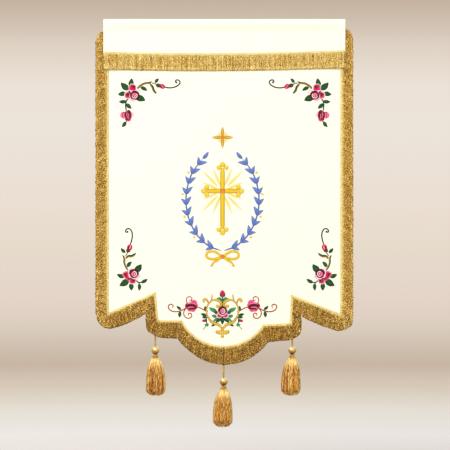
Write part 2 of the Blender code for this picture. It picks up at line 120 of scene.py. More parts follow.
# Each trim's inner edge, and how far its strands' tips reach from it. They fan out to close the corners
EDGES = {
    "side_fringe_left": (
        Row("top", -0.3830, -0.0340, -0.0415, -0.0400, LOCK_BEND),
        Row("low", -0.3830, -0.9300, -0.0415, -0.0400, LOCK_BEND),
        Row("fan", -0.3823, -0.9520, -0.0365, -0.0470, LOCK_BEND),
        Row("fan low", -0.3819, -0.9630, -0.0280, -0.0495, LOCK_HALF_BEND),
        Row("point", -0.3815, -0.9725, -0.0143, -0.0505),
    ),
    "point_fringe_left": (
        Row("point", -0.3815, -0.9725, -0.0143, -0.0505),
        Row("tip", -0.3680, -0.9665, -0.0060, -0.0595),
        Row("slope", -0.3400, -0.9540, 0.0110, -0.0575),
        Row("slope end", -0.2850, -0.9298, 0.0040, -0.0585),
        Row("notch", -0.2268, -0.9039, -0.0377, -0.0736),
    ),
    "step_fringe_left": (
        Row("notch", -0.2268, -0.9039, -0.0300, -0.0601),
        Row("upright", -0.2229, -0.9500, -0.0367, -0.0420),
        Row("upright end", -0.2195, -0.9860, -0.0372, -0.0400, LOCK_BEND),
        Row("corner", -0.2187, -0.9915, -0.0318, -0.0440, 0.5),
        Row("turn", -0.2180, -0.9958, -0.0200, -0.0480, LOCK_HALF_BEND),
        Row("level", -0.2100, -0.9977, -0.0040, -0.0575),
        Row("level end", -0.1950, -0.9979, 0.0000, -0.0583),
        Row("shoulder", -0.1401, -0.9986, -0.0118, -0.0600),
    ),
    "belly_fringe_left": belly_rows(
        (
            Bend("shoulder", -62.2, -0.0122, -0.0610),
            Bend("flank", -43.2, -0.0160, -0.0505),
            Bend("lower flank", -24.1, -0.0090, -0.0580),
            Bend("bottom", 0.2, -0.0020, -0.0630),
        )
    ),
    "belly_fringe_right": belly_rows(
        (
            Bend("bottom", 0.2, -0.0020, -0.0630),
            Bend("lower flank", 19.2, 0.0070, -0.0620),
            Bend("flank", 39.2, 0.0110, -0.0600),
            Bend("shoulder", 56.6, 0.0152, -0.0590),
        )
    ),
    "step_fringe_right": (
        Row("shoulder", 0.1291, -1.0118, 0.0156, -0.0585),
        Row("level", 0.1850, -1.0089, 0.0000, -0.0565),
        Row("level end", 0.2095, -1.0078, 0.0040, -0.0565),
        Row("turn", 0.2172, -1.0058, 0.0208, -0.0480, LOCK_HALF_BEND),
        Row("corner", 0.2178, -0.9990, 0.0315, -0.0450, 0.5),
        Row("upright", 0.2184, -0.9900, 0.0359, -0.0400, LOCK_BEND),
        Row("upright end", 0.2196, -0.9560, 0.0347, -0.0430),
        Row("notch", 0.2208, -0.9122, 0.0306, -0.0598),
    ),
    "point_fringe_right": (
        Row("notch", 0.2208, -0.9122, 0.0383, -0.0733),
        Row("slope", 0.2803, -0.9357, -0.0040, -0.0600),
        Row("slope end", 0.3400, -0.9593, -0.0110, -0.0595),
        Row("tip", 0.3690, -0.9705, 0.0070, -0.0630),
        Row("point", 0.3830, -0.9760, 0.0142, -0.0535),
    ),
    "side_fringe_right": (
        Row("point", 0.3830, -0.9760, 0.0142, -0.0535),
        Row("fan low", 0.3833, -0.9690, 0.0325, -0.0515, LOCK_HALF_BEND),
        Row("fan", 0.3836, -0.9610, 0.0378, -0.0520, LOCK_BEND),
        Row("low", 0.3843, -0.9467, 0.0407, -0.0400, LOCK_BEND),
        Row("top", 0.3843, -0.0265, 0.0407, -0.0400, LOCK_BEND),
    ),
}


# Where things lie

def smooth_step(value, start, end):
    part = np.clip((value - start) / (end - start), 0.0, 1.0)
    return part * part * (3 - 2 * part)


def drape(x, z):
    """How far back the hung cloth stands at a place."""
    fade = smooth_step(-z, -WAVE_FROM, -WAVE_FULL)
    return WAVE_DEEP * fade * np.sin(2 * np.pi * (x / WAVE_LONG + WAVE_SLANT * z))


def header_line(x):
    """Height of the header fringe's upper edge."""
    across = x / HEADER_HALF
    tilt = (HEADER_RIGHT_Z - HEADER_LEFT_Z) / 2
    rise = (HEADER_RIGHT_Z + HEADER_LEFT_Z) / 2 - HEADER_MIDDLE_Z
    return HEADER_MIDDLE_Z + tilt * across + rise * across * across


def trim_back(x, z):
    """The face of the cloth that the edge fringes are sewn to, less the gap of the sewing."""
    return drape(x, z) - PANEL_THICK / 2 - SEWN_GAP


def flap_back(x):
    lift = smooth_step(np.abs(x), FLAP_LIFT_FROM, FLAP_LIFT_TO)
    return -PANEL_THICK / 2 - SEWN_GAP - FLAP_LIFT * lift


def header_back(x, z):
    """Behind the header fringe: the flap's face at the top and, where the strands fall back, the cloth."""
    fall = smooth_step(header_line(x) - z, 0.010, 0.045)
    return flap_back(x) - (SLEEVE_THICK + SEWN_GAP) * (1 - fall)


def at(column, row):
    """A place in the front view, in metres."""
    return (column - MIDDLE_COLUMN) * PIXEL, -(row - TOP_ROW) * PIXEL


def linear(colour):
    """A display colour, 0 to 255, as the renderer counts it."""
    share = np.asarray(colour, float) / 255
    return np.where(share > 0.04045, ((share + 0.055) / 1.055) ** 2.4, share / 12.92)


# Lines

def unit(vectors):
    return vectors / np.linalg.norm(vectors, axis=-1, keepdims=True)


def distances(line):
    """How far along a line each of its points lies."""
    return np.concatenate([[0], np.cumsum(np.linalg.norm(np.diff(line, axis=0), axis=1))])


def along_line(place, reach, line):
    """The line's values at these distances, where reach is its own points' distances."""
    return np.stack([np.interp(place, reach, column) for column in line.T], axis=1)


# Materials

def nodes_of(name):
    made = bpy.data.materials.new(name)
    made.use_nodes = True
    return made, made.node_tree, made.node_tree.nodes["Principled BSDF"]


def feed(tree, node, inputs):
    """Link each input to a socket, or set it to a value."""
    for key, value in inputs.items():
        if isinstance(value, bpy.types.NodeSocket):
            tree.links.new(value, node.inputs[key])
        else:
            node.inputs[key].default_value = value


def add_node(tree, kind, inputs=None, **settings):
    made = tree.nodes.new(kind)
    for key, value in settings.items():
        setattr(made, key, value)
    feed(tree, made, inputs or {})
    return made


def maths(tree, operation, *values):
    return add_node(tree, "ShaderNodeMath", dict(enumerate(values)), operation=operation).outputs[0]


def scaled(tree, value, factor, more=0.0):
    """The value times a factor, plus more."""
    return maths(tree, "MULTIPLY_ADD", value, factor, more)


def ripple(tree, value, pitch):
    return maths(tree, "SINE", maths(tree, "MULTIPLY", value, 2 * math.pi / pitch))


def ramp(tree, factor, stops):
    """Colours along a value: stops are (place, display colour)."""
    made = add_node(tree, "ShaderNodeValToRGB", {"Fac": factor})
    elements = made.color_ramp.elements
    while len(elements) < len(stops):
        elements.new(0.5)
    for element, (place, colour) in zip(elements, stops):
        element.position = place
        element.color = (*linear(colour), 1.0)
    return made.outputs["Color"]


def noise(tree, where, scale, detail=2.0):
    inputs = {"Vector": where, "Scale": scale, "Detail": detail}
    return add_node(tree, "ShaderNodeTexNoise", inputs).outputs["Fac"]


def place_of(tree):
    return add_node(tree, "ShaderNodeTexCoord").outputs["Object"]


def parts_of(tree, vector):
    return add_node(tree, "ShaderNodeSeparateXYZ", {0: vector}).outputs


def yarn_uv(tree):
    return parts_of(tree, add_node(tree, "ShaderNodeUVMap", uv_map="yarn").outputs[0])


def bump(tree, height, strength, distance):
    inputs = {"Height": height, "Strength": strength, "Distance": distance}
    return add_node(tree, "ShaderNodeBump", inputs).outputs["Normal"]


def cloth_material():
    """Ivory satin: fine warp and weft, faint slubs, a soft sheen."""
    made, tree, shader = nodes_of("ivory satin")
    where = place_of(tree)
    split = parts_of(tree, where)
    weave = maths(tree, "MULTIPLY", ripple(tree, split["X"], 0.0009), ripple(tree, split["Z"], 0.0011))
    weave = scaled(tree, weave, 0.5, 0.5)
    drawn_out = add_node(tree, "ShaderNodeMapping", {"Vector": where, "Scale": (1, 1, 14)}).outputs[0]
    slub = noise(tree, drawn_out, 60)
    # The slubs vary the satin's own tone; the weave's ripple lightens and darkens it a little, a painted
    # shade of its threads.
    mix = scaled(tree, weave, 0.06, maths(tree, "MULTIPLY", slub, 0.9))
    feed(tree, shader, {
        "Base Color": ramp(tree, mix, ((0.25, (234, 231, 211)), (0.75, (238, 235, 216)))),
        "Roughness": scaled(tree, slub, 0.15, 0.45),
        "Sheen Weight": 0.2,
        "Sheen Roughness": 0.4,
        "Specular IOR Level": 0.3,
        "Normal": bump(tree, weave, 0.25, 0.0002),
    })
    return made


def gold_material(name, stops, metallic, rough, twist, spread, grain, relief=0.55, coat=0.0):
    """Gold yarn: each strand has its own shade, with specks and slanting plies along it.

    stops are its colours from dark to bright, and twist is the metres in one turn of the plies. spread and
    grain are how much strands and specks differ.
    """
    made, tree, shader = nodes_of(name)
    where = place_of(tree)
    strand = add_node(tree, "ShaderNodeAttribute", attribute_name="shade").outputs["Fac"]
    uv = yarn_uv(tree)
    ply = ripple(tree, scaled(tree, uv["Y"], 1 / twist, maths(tree, "MULTIPLY", uv["X"], 2.0)), 1.0)
    speckle = noise(tree, where, 360, 3.0)
    value = scaled(tree, speckle, grain, -grain / 2)
    value = scaled(tree, strand, spread, value)
    value = scaled(tree, noise(tree, where, 60, 1.0), 0.3, value)
    # Painted shade: the plies' ripple also darkens the colour in their grooves and lightens it on their
    # crowns.
    value = scaled(tree, ply, 0.06, value)
    feed(tree, shader, {
        "Base Color": ramp(tree, value, stops),
        "Roughness": scaled(tree, speckle, 0.25, rough),
        "Metallic": metallic,
        "Coat Weight": coat,
        "Coat Roughness": 0.26,
        "Coat IOR": 1.8,
        "Normal": bump(tree, ply, relief, 0.0004),
    })
    return made


def thread_material():
    """Embroidery floss: the tint of each stitch, with fine ridges across the motif and a silky gloss."""
    made, tree, shader = nodes_of("embroidery floss")
    tint = add_node(tree, "ShaderNodeAttribute", attribute_name="tint").outputs["Color"]
    uv = yarn_uv(tree)
    ridge = ripple(tree, scaled(tree, uv["X"], 0.35, uv["Y"]), 0.0007)
    uneven = noise(tree, place_of(tree), 420)
    # Painted shade: the stitch ridges lighten and darken the tint a little; the noise is the floss's own
    # uneven tone.
    light = scaled(tree, ridge, 0.07, scaled(tree, uneven, 0.3, 0.66))
    shaded = add_node(tree, "ShaderNodeVectorMath", {0: tint}, operation="SCALE")
    feed(tree, shaded, {"Scale": light})
    feed(tree, shader, {
        "Base Color": shaded.outputs[0],
        "Roughness": scaled(tree, uneven, 0.2, 0.4),
        "Specular IOR Level": 0.2,
        "Normal": bump(tree, ridge, 0.4, 0.0002),
    })
    return made


BULLION = ((0.05, (98, 60, 6)), (0.38, (172, 121, 20)), (0.65, (228, 180, 58)), (0.95, (255, 240, 164)))
HEADING = ((0.05, (200, 166, 90)), (0.4, (232, 208, 128)), (0.7, (246, 232, 164)), (0.95, (252, 246, 200)))
ROPE = ((0.05, (120, 84, 20)), (0.4, (206, 164, 60)), (0.85, (252, 230, 136)))
SATIN = ((0.05, (84, 44, 2)), (0.38, (160, 98, 16)), (0.70, (226, 162, 56)), (1.00, (255, 236, 160)))
BALL = ((0.05, (70, 40, 2)), (0.5, (196, 142, 40)), (0.95, (255, 240, 170)))

cloth_finish = cloth_material()
fringe_finish = gold_material("twisted bullion", BULLION, 0.12, 0.38, 0.0016, 0.32, 3.1)
heading_finish = gold_material("woven heading", HEADING, 0.1, 0.4, 0.0022, 0.3, 1.6)
rope_finish = gold_material("gold rope", ROPE, 0.15, 0.35, 0.0012, 0.35, 1.0)
satin_finish = gold_material("gold satin floss", SATIN, 0.35, 0.24, 0.0030, 0.8, 1.2)
ball_finish = gold_material("wound gold floss", BALL, 0.85, 0.09, 0.0030, 1.0, 0.4, relief=0.03, coat=0.35)
thread_finish = thread_material()


# Meshes from arrays

TO_FRONT = (0.0, -1.0, 0.0)
TO_BACK = (0.0, 1.0, 0.0)
UP = (0.0, 0.0, 1.0)


def piece(name, form, finish, replaces=None):
    """One object on the banner's body.

    form is its points, its quads, a uv for each corner of each quad, and each point's shade or tint, or None.
    """
    points, faces, uv, values = form
    mesh = bpy.data.meshes.new(name)
    mesh.from_pydata(points, [], faces)
    mesh.uv_layers.new(name="yarn").data.foreach_set("uv", np.asarray(uv, np.float32).ravel())
    if values is not None and values.ndim == 1:
        mesh.attributes.new("shade", "FLOAT", "POINT").data.foreach_set("value", values.astype(np.float32))
    elif values is not None:
        full = np.hstack([values, np.ones((len(values), 1))]).astype(np.float32)
        mesh.attributes.new("tint", "FLOAT_COLOR", "POINT").data.foreach_set("color", full.ravel())
    mesh.materials.append(finish)
    mesh.shade_smooth()
    obj = bpy.data.objects.new(name, mesh)
    bpy.context.scene.collection.objects.link(obj)
    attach(obj, "root")
    if replaces:
        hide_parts(replaces)
    return obj


def grid_faces(count, lines, sides, around):
    """Quads of many like grids, and each corner's step across and along. around closes each grid's sides."""
    wide = sides if around else sides - 1
    grid, line, side = np.meshgrid(np.arange(count), np.arange(lines - 1), np.arange(wide), indexing="ij")
    corners = ((0, 0), (1, 0), (1, 1), (0, 1))
    faces = [grid * lines * sides + (line + a) * sides + (side + b) % sides for a, b in corners]
    steps = [np.stack([side + b, line + a], axis=-1) for a, b in corners]
    return np.stack(faces, axis=-1).reshape(-1, 4), np.stack(steps, axis=-2).reshape(-1, 4, 2)


def facing_out(points, faces, uv=None):
    """The faces, and their uv, turned so that a closed form's faces look outwards."""
    a, b, c, d = (points[faces[:, k]] for k in range(4))
    volume = np.sum(a * np.cross(b, c)) + np.sum(a * np.cross(c, d))
    if volume < 0:
        return faces[:, ::-1], None if uv is None else uv[:, ::-1]
    return faces, uv


def tubes(paths, radii, facings, sides, lobes=0.0, twist=0.0, ply=1):
    """Closed tubes along many paths of the same number of points, as points, quads and the quads' uv.

    facings is the direction out of the paths' plane. lobes is how far the section's plies bulge, and twist
    how many metres they take for one turn.
    """
    count, lines, _ = paths.shape
    radii = np.broadcast_to(radii, (count, lines))
    along = unit(np.gradient(paths, axis=1))
    level = unit(np.cross(along, np.broadcast_to(facings, paths.shape)))
    facing = np.cross(level, along)
    run = np.linalg.norm(np.diff(paths, axis=1), axis=2)
    length = np.concatenate([np.zeros((count, 1)), np.cumsum(run, axis=1)], axis=1)
    angle = 2 * np.pi * np.arange(sides) / sides
    turned = angle + 2 * np.pi * length[:, :, None] / twist if twist else angle
    turned = np.broadcast_to(turned, (count, lines, sides))
    radius = radii[:, :, None] * (1 - lobes * (0.5 - 0.5 * np.cos(ply * angle)))
    points = (
        paths[:, :, None, :]
        + level[:, :, None, :] * (radius * np.cos(turned))[..., None]
        + facing[:, :, None, :] * (radius * np.sin(turned))[..., None]
    )
    faces, steps = grid_faces(count, lines, sides, True)
    owner = faces[:, :1] // (lines * sides)
    uv = np.stack([steps[..., 0] / sides, length[owner, steps[..., 1]]], axis=-1)
    first = np.arange(count)[:, None] * lines * sides
    caps = []
    for k in range(1, sides - 2, 2):
        quad = np.array((0, k, k + 1, k + 2))
        caps += [first + quad, first + (lines - 1) * sides + quad[::-1]]
    caps = np.concatenate(caps)
    uv = np.concatenate([uv, np.zeros((len(caps), 4, 2))])
    points = points.reshape(-1, 3)
    return points, *facing_out(points, np.concatenate([faces, caps]), uv)


def in_one_shade(form, shade=0.5):
    return *form, np.full(len(form[0]), shade)


def sheet(front, back):
    """One closed sheet between two grids of points, as points and quads."""
    lines, across, _ = front.shape
    faces, _ = grid_faces(1, lines, across, False)
    other = faces[:, ::-1] + lines * across
    rim = [(i, 0) for i in range(lines)]
    rim += [(lines - 1, j) for j in range(1, across)]
    rim += [(i, across - 1) for i in range(lines - 2, -1, -1)]
    rim += [(0, j) for j in range(across - 2, 0, -1)]
    number = np.array([i * across + j for i, j in rim])
    following = np.roll(number, -1)
    edge = np.stack([number, number + lines * across, following + lines * across, following], axis=1)
    points = np.concatenate([front.reshape(-1, 3), back.reshape(-1, 3)])
    return points, facing_out(points, np.concatenate([faces, other, edge]))[0]


def merged(forms):
    """Several forms as one."""
    starts = np.cumsum([0] + [len(form[0]) for form in forms])
    points, faces, uvs, values = zip(*forms)
    faces = [some + start for some, start in zip(faces, starts)]
    return tuple(np.concatenate(some) for some in (points, faces, uvs, values))


# Camera, then the cords

def add_camera():
    data = bpy.data.cameras.new("camera")
    data.lens = 200
    data.sensor_width = 36
    data.clip_end = 100
    camera = bpy.data.objects.new("camera", data)
    bpy.context.scene.collection.objects.link(camera)
    x, z = at(VIEW_WIDE / 2, VIEW_WIDE / 2)
    distance = VIEW_WIDE * PIXEL * data.lens / data.sensor_width
    camera.location = (x, -distance, z)
    camera.rotation_euler = (math.radians(90), 0, 0)
    bpy.context.scene.camera = camera


def hang_y(tassel):
    """How far back a tassel's cord hangs."""
    return PANEL_THICK / 2 + SEWN_GAP + CORD_THICK / 2 + float(drape(tassel.sewn_x, tassel.edge_z))


def cord_path(tassel, steps=120):
    """From the back of the hem through the ball and on into the skirt, where the strands are tied to it."""
    top = tassel.edge_z + CORD_SEWN
    end = tassel.ball_z - BALL_RADIUS - CORD_IN_SKIRT
    part = np.linspace(0, 1, steps)
    x = tassel.sewn_x + (tassel.ball_x - tassel.sewn_x) * smooth_step(part, 0, 0.35)
    return np.stack([x, np.full(steps, hang_y(tassel)), top + (end - top) * part], axis=1)


# How far the plies bulge past the cord's measured thickness
PLY_BULGE = 0.0003


def add_rope(tassel):
    """A three-ply twisted cord from the back of the hem to the tassel's ball."""
    path = cord_path(tassel)
    radius = CORD_THICK / 2 + PLY_BULGE
    points, faces, uv = tubes(path[None], radius, TO_FRONT, 12, lobes=0.22, twist=0.016, ply=3)
    form = points, faces, uv, 0.5 + 0.2 * random.standard_normal(len(points))
    return piece(f"rope_{tassel.side}", form, rope_finish, f"tassel_cord_{tassel.side}"), path


add_camera()
ropes = {tassel.side: add_rope(tassel) for tassel in TASSELS}


# Tassels

def turned_form(profile, tassel, sides, ridge=0.0, ridges=0):
    """A turned form with upright ridges of wound thread. profile holds (radius, height) from the top down."""
    radius, height = np.array(profile).T
    angle = 2 * np.pi * np.arange(sides) / sides
    ring = radius[:, None] * (1 + ridge * np.cos(ridges * angle) / radius.max())
    high = np.repeat(height[:, None], sides, 1)
    points = np.stack([ring * np.cos(angle), ring * np.sin(angle), high], axis=-1).reshape(-1, 3)
    points += (tassel.ball_x, hang_y(tassel), tassel.ball_z)
    faces, steps = grid_faces(1, len(radius), sides, True)
    around = steps[..., 0] / sides * (2 * np.pi * radius.max())
    uv = np.stack([np.zeros_like(around), around], axis=-1)
    # Painted shade: darker in the grooves between the upright ridges and lighter on them, with random tone.
    shade = 0.45 + 0.25 * np.tile(np.cos(ridges * angle), len(radius))
    shade = shade + 0.1 * random.standard_normal(len(points))
    return points, *facing_out(points - points.mean(axis=0), faces, uv), shade


# The floss lies a little outside the ball that it is wound over, in upright windings
WOUND_RADIUS = BALL_RADIUS + 0.0009
WINDINGS = 48

SkirtLevel = namedtuple("SkirtLevel", "drop radius")
SKIRT_OUTLINE = (
    SkirtLevel(drop=0.0076, radius=0.0082),
    SkirtLevel(0.0142, 0.0128),
    SkirtLevel(0.0209, 0.0168),
    SkirtLevel(0.0275, 0.0200),
    SkirtLevel(0.0407, 0.0240),
    SkirtLevel(0.0540, 0.0272),
    SkirtLevel(0.0672, 0.0294),
    SkirtLevel(0.0805, 0.0308),
    SkirtLevel(0.1070, 0.0317),
    SkirtLevel(0.1380, 0.0306),
)
SKIRT_LONG = 0.1376
SKIRT_ROUNDED = 0.0155
SKIRT_STRANDS = 640
SKIRT_CLUMPS = 21
SKIRT_GATHER = 0.2
# Each strand starts this share of a turn after the one before, which spreads them evenly
GOLDEN_TURN = 0.618034
SKIRT_LEANS = {"left": 0.0012, "center": -0.0030, "right": -0.0046}
NECK_COIL_THICK = 0.0014
NECK_COILS = ((0.0014, 0.0064), (0.0040, 0.0072), (0.0066, 0.0078))
NECK_COIL_SHADE = 0.62
NECK_PROFILE = (
    (0.0010, -0.0005),
    (0.0046, -0.0006),
    (0.0058, -0.0022),
    (0.0058, -0.0070),
    (0.0080, -0.0095),
    (0.0088, -0.0125),
    (0.0100, -0.0200),
    (0.0010, -0.0205),
)


def add_ball(tassel):
    """A ball of wound floss with painted light: lighter towards its top, darker below and between its
    windings.
    """
    turn = np.linspace(0.06, math.pi - 0.06, 30)
    profile = list(zip(WOUND_RADIUS * np.sin(turn), WOUND_RADIUS * np.cos(turn)))
    points, faces, uv, _ = turned_form(profile, tassel, 3 * WINDINGS)
    height = (points[:, 2] - tassel.ball_z) / BALL_RADIUS
    turn = np.arctan2(points[:, 1] - hang_y(tassel), points[:, 0] - tassel.ball_x)
    # Painted light and shade: lighter towards the top, darker towards the bottom and between the windings.
    form = points, faces, uv, 0.40 + 0.62 * height + 0.08 * np.cos(WINDINGS * turn)
    return piece(f"wound_ball_{tassel.side}", form, ball_finish, f"tassel_ball_{tassel.side}")


def neck_coils(tassel, top):
    """Cord wound round the tassel's neck: closed turns, each at its drop and radius."""
    coils = []
    angle = np.linspace(0, 2 * np.pi, 49)
    for drop, radius in NECK_COILS:
        ring = np.stack([radius * np.cos(angle), radius * np.sin(angle), np.full(49, -drop)], axis=1)
        ring += (tassel.ball_x, hang_y(tassel), top)
        coil = tubes(ring[None], NECK_COIL_THICK, UP, 8, lobes=0.2, twist=0.006, ply=2)
        coils.append(in_one_shade(coil, NECK_COIL_SHADE))
    return coils


def hanging_strands(tassel, top):
    """The skirt's strands, drawn into locks and waving a little."""
    one_each = (SKIRT_STRANDS, 1)
    part = np.linspace(0, 1, 11)
    drops, outers = np.array(SKIRT_OUTLINE).T
    number = np.arange(SKIRT_STRANDS)
    clump = random.integers(0, SKIRT_CLUMPS, SKIRT_STRANDS)
    middle = 2 * np.pi * (clump + 0.5 * random.random(SKIRT_STRANDS)) / SKIRT_CLUMPS
    even = 2 * np.pi * (number * GOLDEN_TURN % 1)
    off = (middle - even + np.pi) % (2 * np.pi) - np.pi
    turn = even + SKIRT_GATHER * off * (np.abs(off) < 0.5)
    outside = 0.985 - 0.08 * random.random(SKIRT_STRANDS)
    inside = 1 - 0.65 * random.random(SKIRT_STRANDS)
    depth = np.where(number % 2 == 0, outside, inside)
    long = SKIRT_LONG - SKIRT_ROUNDED * depth**3.5 - 0.002 * random.random(SKIRT_STRANDS)
    start = drops[0] - 0.001
    drop = start + (long[:, None] - drops[0] + 0.001) * part[None]
    outer = np.interp(drop, drops, outers) * depth[:, None]
    outer *= 1 + 0.02 * np.sin(turn[:, None] * SKIRT_CLUMPS / 2 + 1.7)
    wave = part[None] * random.uniform(1.2, 3.0, one_each) + random.random(one_each)
    sway = 0.040 * np.sin(2 * np.pi * wave) * smooth_step(part[None], 0.1, 0.5)
    angle = turn[:, None] + sway + 0.03 * random.standard_normal(one_each) * part[None]
    lean = SKIRT_LEANS[tassel.side] * smooth_step(drop, 0.0, 0.09)
    paths = np.stack([outer * np.cos(angle) + lean, outer * np.sin(angle), -drop], axis=-1)
    paths += (tassel.ball_x, hang_y(tassel), top)
    facing = np.stack([np.cos(angle), np.sin(angle), np.zeros_like(angle)], axis=-1)
    radii = np.interp(part, (0, 0.2, 0.9, 1), (0.0006, 0.0011, 0.0014, 0.0010))
    lock_shade = random.random(SKIRT_CLUMPS)[clump]
    shade = 0.12 * lock_shade + 0.90 * random.random(SKIRT_STRANDS) - 0.03
    # Painted highlights: a light band on the strands just below the neck, and short glints that come and go
    # along each strand.
    painted_top_highlight = 0.60 * smooth_step(part, 0.0, 0.04) * (1 - smooth_step(part, 0.10, 0.40))
    painted_glints = 0.18 * np.sin(2 * np.pi * (2.1 * wave + random.random(one_each)))
    shade = np.repeat(shade[:, None] + painted_top_highlight[None] + painted_glints, 4, axis=1).ravel()
    return *tubes(paths, radii, facing, 4), shade


def add_skirt(tassel):
    """Hundreds of hanging strands under a wound neck."""
    top = tassel.ball_z - BALL_RADIUS - SEWN_GAP
    strands = hanging_strands(tassel, top)
    profile = [(radius, height - BALL_RADIUS - SEWN_GAP) for radius, height in NECK_PROFILE]
    neck = turned_form(profile, tassel, 60, 0.0002, 30)
    form = merged([strands, neck, *neck_coils(tassel, top)])
    return piece(f"strands_{tassel.side}", form, satin_finish, f"tassel_skirt_{tassel.side}")


for tassel in TASSELS:
    ball = add_ball(tassel)
    skirt = add_skirt(tassel)


# Fringe

Station = namedtuple("Station", "inner outer tip bend")


def outward(start, end):
    run = (end - start).normalized()
    return Vector((run.y, -run.x))


def corner_steps(rows, before, after):
    """For each row, the step from the heading's inner edge to its outer edge, mitred at a corner."""
    places = [Vector((row.x, row.z)) for row in rows]
    line = [before or places[0] * 2 - places[1]] + places + [after or places[-1] * 2 - places[-2]]
    steps = []
    for previous, here, following in zip(line, line[1:], line[2:]):
        first = outward(previous, here)
        second = outward(here, following)
        steps.append((first + second) / (1 + first.dot(second)) * HEADING_WIDE)
    return steps


def trim_steps(name):
    names = list(EDGES)
    place = names.index(name)
    before = EDGES[names[place - 1]][-2] if place > 0 else None
    after = EDGES[names[place + 1]][1] if place + 1 < len(names) else None
    return corner_steps(EDGES[name], *[row and Vector((row.x, row.z)) for row in (before, after)])


def edge_stations(name):
    """A trim's heading and the strands' tips at each row, pulled in a little at its two ends."""
    stations = []
    for row, step in zip(EDGES[name], trim_steps(name)):
        inner = Vector((row.x, row.z))
        stations.append(Station(inner, inner + step, inner + Vector((row.reach_x, row.reach_z)), row.bend))
    for place, onward in ((0, 1), (-1, -2)):
        pull = (stations[onward].inner - stations[place].inner).normalized() * TRIM_END_GAP
        here = stations[place]
        stations[place] = here._replace(inner=here.inner + pull, outer=here.outer + pull)
    return stations


def header_stations():
    stations = []
    for x in np.linspace(-HEADER_HALF, HEADER_HALF, 48):
        z = header_line(x)
        stations.append(Station((x, z), (x, z - HEADING_WIDE), (x, z - HEADER_REACH + 0.0014), 0.0))
    return stations


# The last value of a layer is painted shade: the layers nearer the cloth are drawn darker.
Layer = namedtuple("Layer", "depth pitch thick sides lines bright")
LAYERS = (
    Layer(depth=0.0030, pitch=0.0020, thick=0.00125, sides=6, lines=10, bright=1.0),
    Layer(depth=0.0021, pitch=0.0019, thick=0.00140, sides=4, lines=8, bright=0.75),
    Layer(depth=0.0014, pitch=0.0016, thick=0.00190, sides=4, lines=8, bright=0.5),
)
# How near to a join the strands get painted shade, for the dark gap between the two halves
JOIN_SHADE_WIDE = 0.0013
# How far the strands begin under the heading
STRAND_UNDER = 0.003


def between(stations, along):
    """Heading, tips and bend at these shares of a trim's length, and its length."""
    keys = ("inner", "outer", "tip")
    inner, outer, tip = (np.array([tuple(getattr(station, key)) for station in stations]) for key in keys)
    bend = np.array([station.bend for station in stations])
    reach = distances(outer * 0.35 + tip * 0.65)
    place = along * reach[-1]
    lines = (along_line(place, reach, line) for line in (inner, outer, tip))
    return *lines, np.interp(place, reach, bend), reach[-1]


def fringe_strands(stations, back, bright, vary, shaded_join=None):
    """Three layers of twisted strands from under the heading to their tips.

    How light the strands are drawn is painted light: the header fringe lightest, the lower edges darkest,
    and the layers nearer the cloth darker still. vary is how much the strands differ. Where a trim meets its
    other half, painted shade darkens the strands next to the join.
    """
    forms = []
    length = between(stations, np.array([0.0]))[-1]
    for layer in LAYERS:
        count = int(length / layer.pitch)
        one_each = (count, 1)
        along = (np.arange(count) + 0.5 + 0.6 * (random.random(count) - 0.5)) / count
        inner, outer, tip, bend, _ = between(stations, np.clip(along, 0.003, 0.997))
        leaves = unit(outer - inner)
        root = outer - leaves * STRAND_UNDER
        uneven = [random.normal(0, 0.0009, count), random.normal(0.0002, 0.0007, count)]
        tip = tip + np.stack(uneven, axis=1)
        straight = (root + tip) / 2
        square = root + leaves * np.maximum(0, np.sum((tip - root) * leaves, axis=1))[:, None]
        control = straight + (square - straight) * bend[:, None]
        share = np.linspace(0, 1, layer.lines)
        part = share[None, :, None]
        flat = root[:, None] * (1 - part) ** 2 + control[:, None] * (2 * part * (1 - part))
        flat = flat + tip[:, None] * part**2
        run = tip - root
        side = unit(np.stack([run[:, 1], -run[:, 0]], axis=1))
        wander = random.normal(0, 0.0005, (count, 1, 1))
        wander = wander * np.sin(np.pi * part * random.uniform(1, 2.5, (count, 1, 1)))
        flat = flat + side[:, None] * wander
        x, z = flat[..., 0], flat[..., 1]
        deep = layer.depth + random.normal(0, 0.00015, one_each)
        deep = deep + 0.0003 * np.sin(3 * part[..., 0] + 6 * random.random(one_each))
        paths = np.stack([x, back(x, z) - deep, z], axis=-1)
        radii = np.interp(share, (0, 0.08, 0.93, 1), (0.8, 1.0, 1.0, 0.7)) * layer.thick
        radii = radii[None] * random.uniform(0.85, 1.1, one_each)
        # Painted light and shade: lighter on the higher trims and on the front layer, with random tone
        # between strands.
        shade = bright + layer.bright * (0.5 + vary * (random.random(count) - 0.5))
        if shaded_join is not None:
            # Painted shade where the two halves of the lower edge meet.
            shade = shade - 1.5 * (np.abs(along - shaded_join) * length < JOIN_SHADE_WIDE)
        # Painted light: the roots lighter where they catch the light below the heading, and on the header
        # fringe the tips too, against the shade along its lower edge.
        lit_root = 1.5 * (1 - smooth_step(share, 0.0, 0.13))
        lit_tip = max(0.0, bright - 0.5) * smooth_step(share, 0.75, 0.95)
        shade = np.repeat(shade[:, None] + (lit_root + lit_tip)[None], layer.sides, axis=1).ravel()
        forms.append((*tubes(paths, radii, TO_FRONT, layer.sides, lobes=0.36, twist=0.026, ply=2), shade))
    return merged(forms)


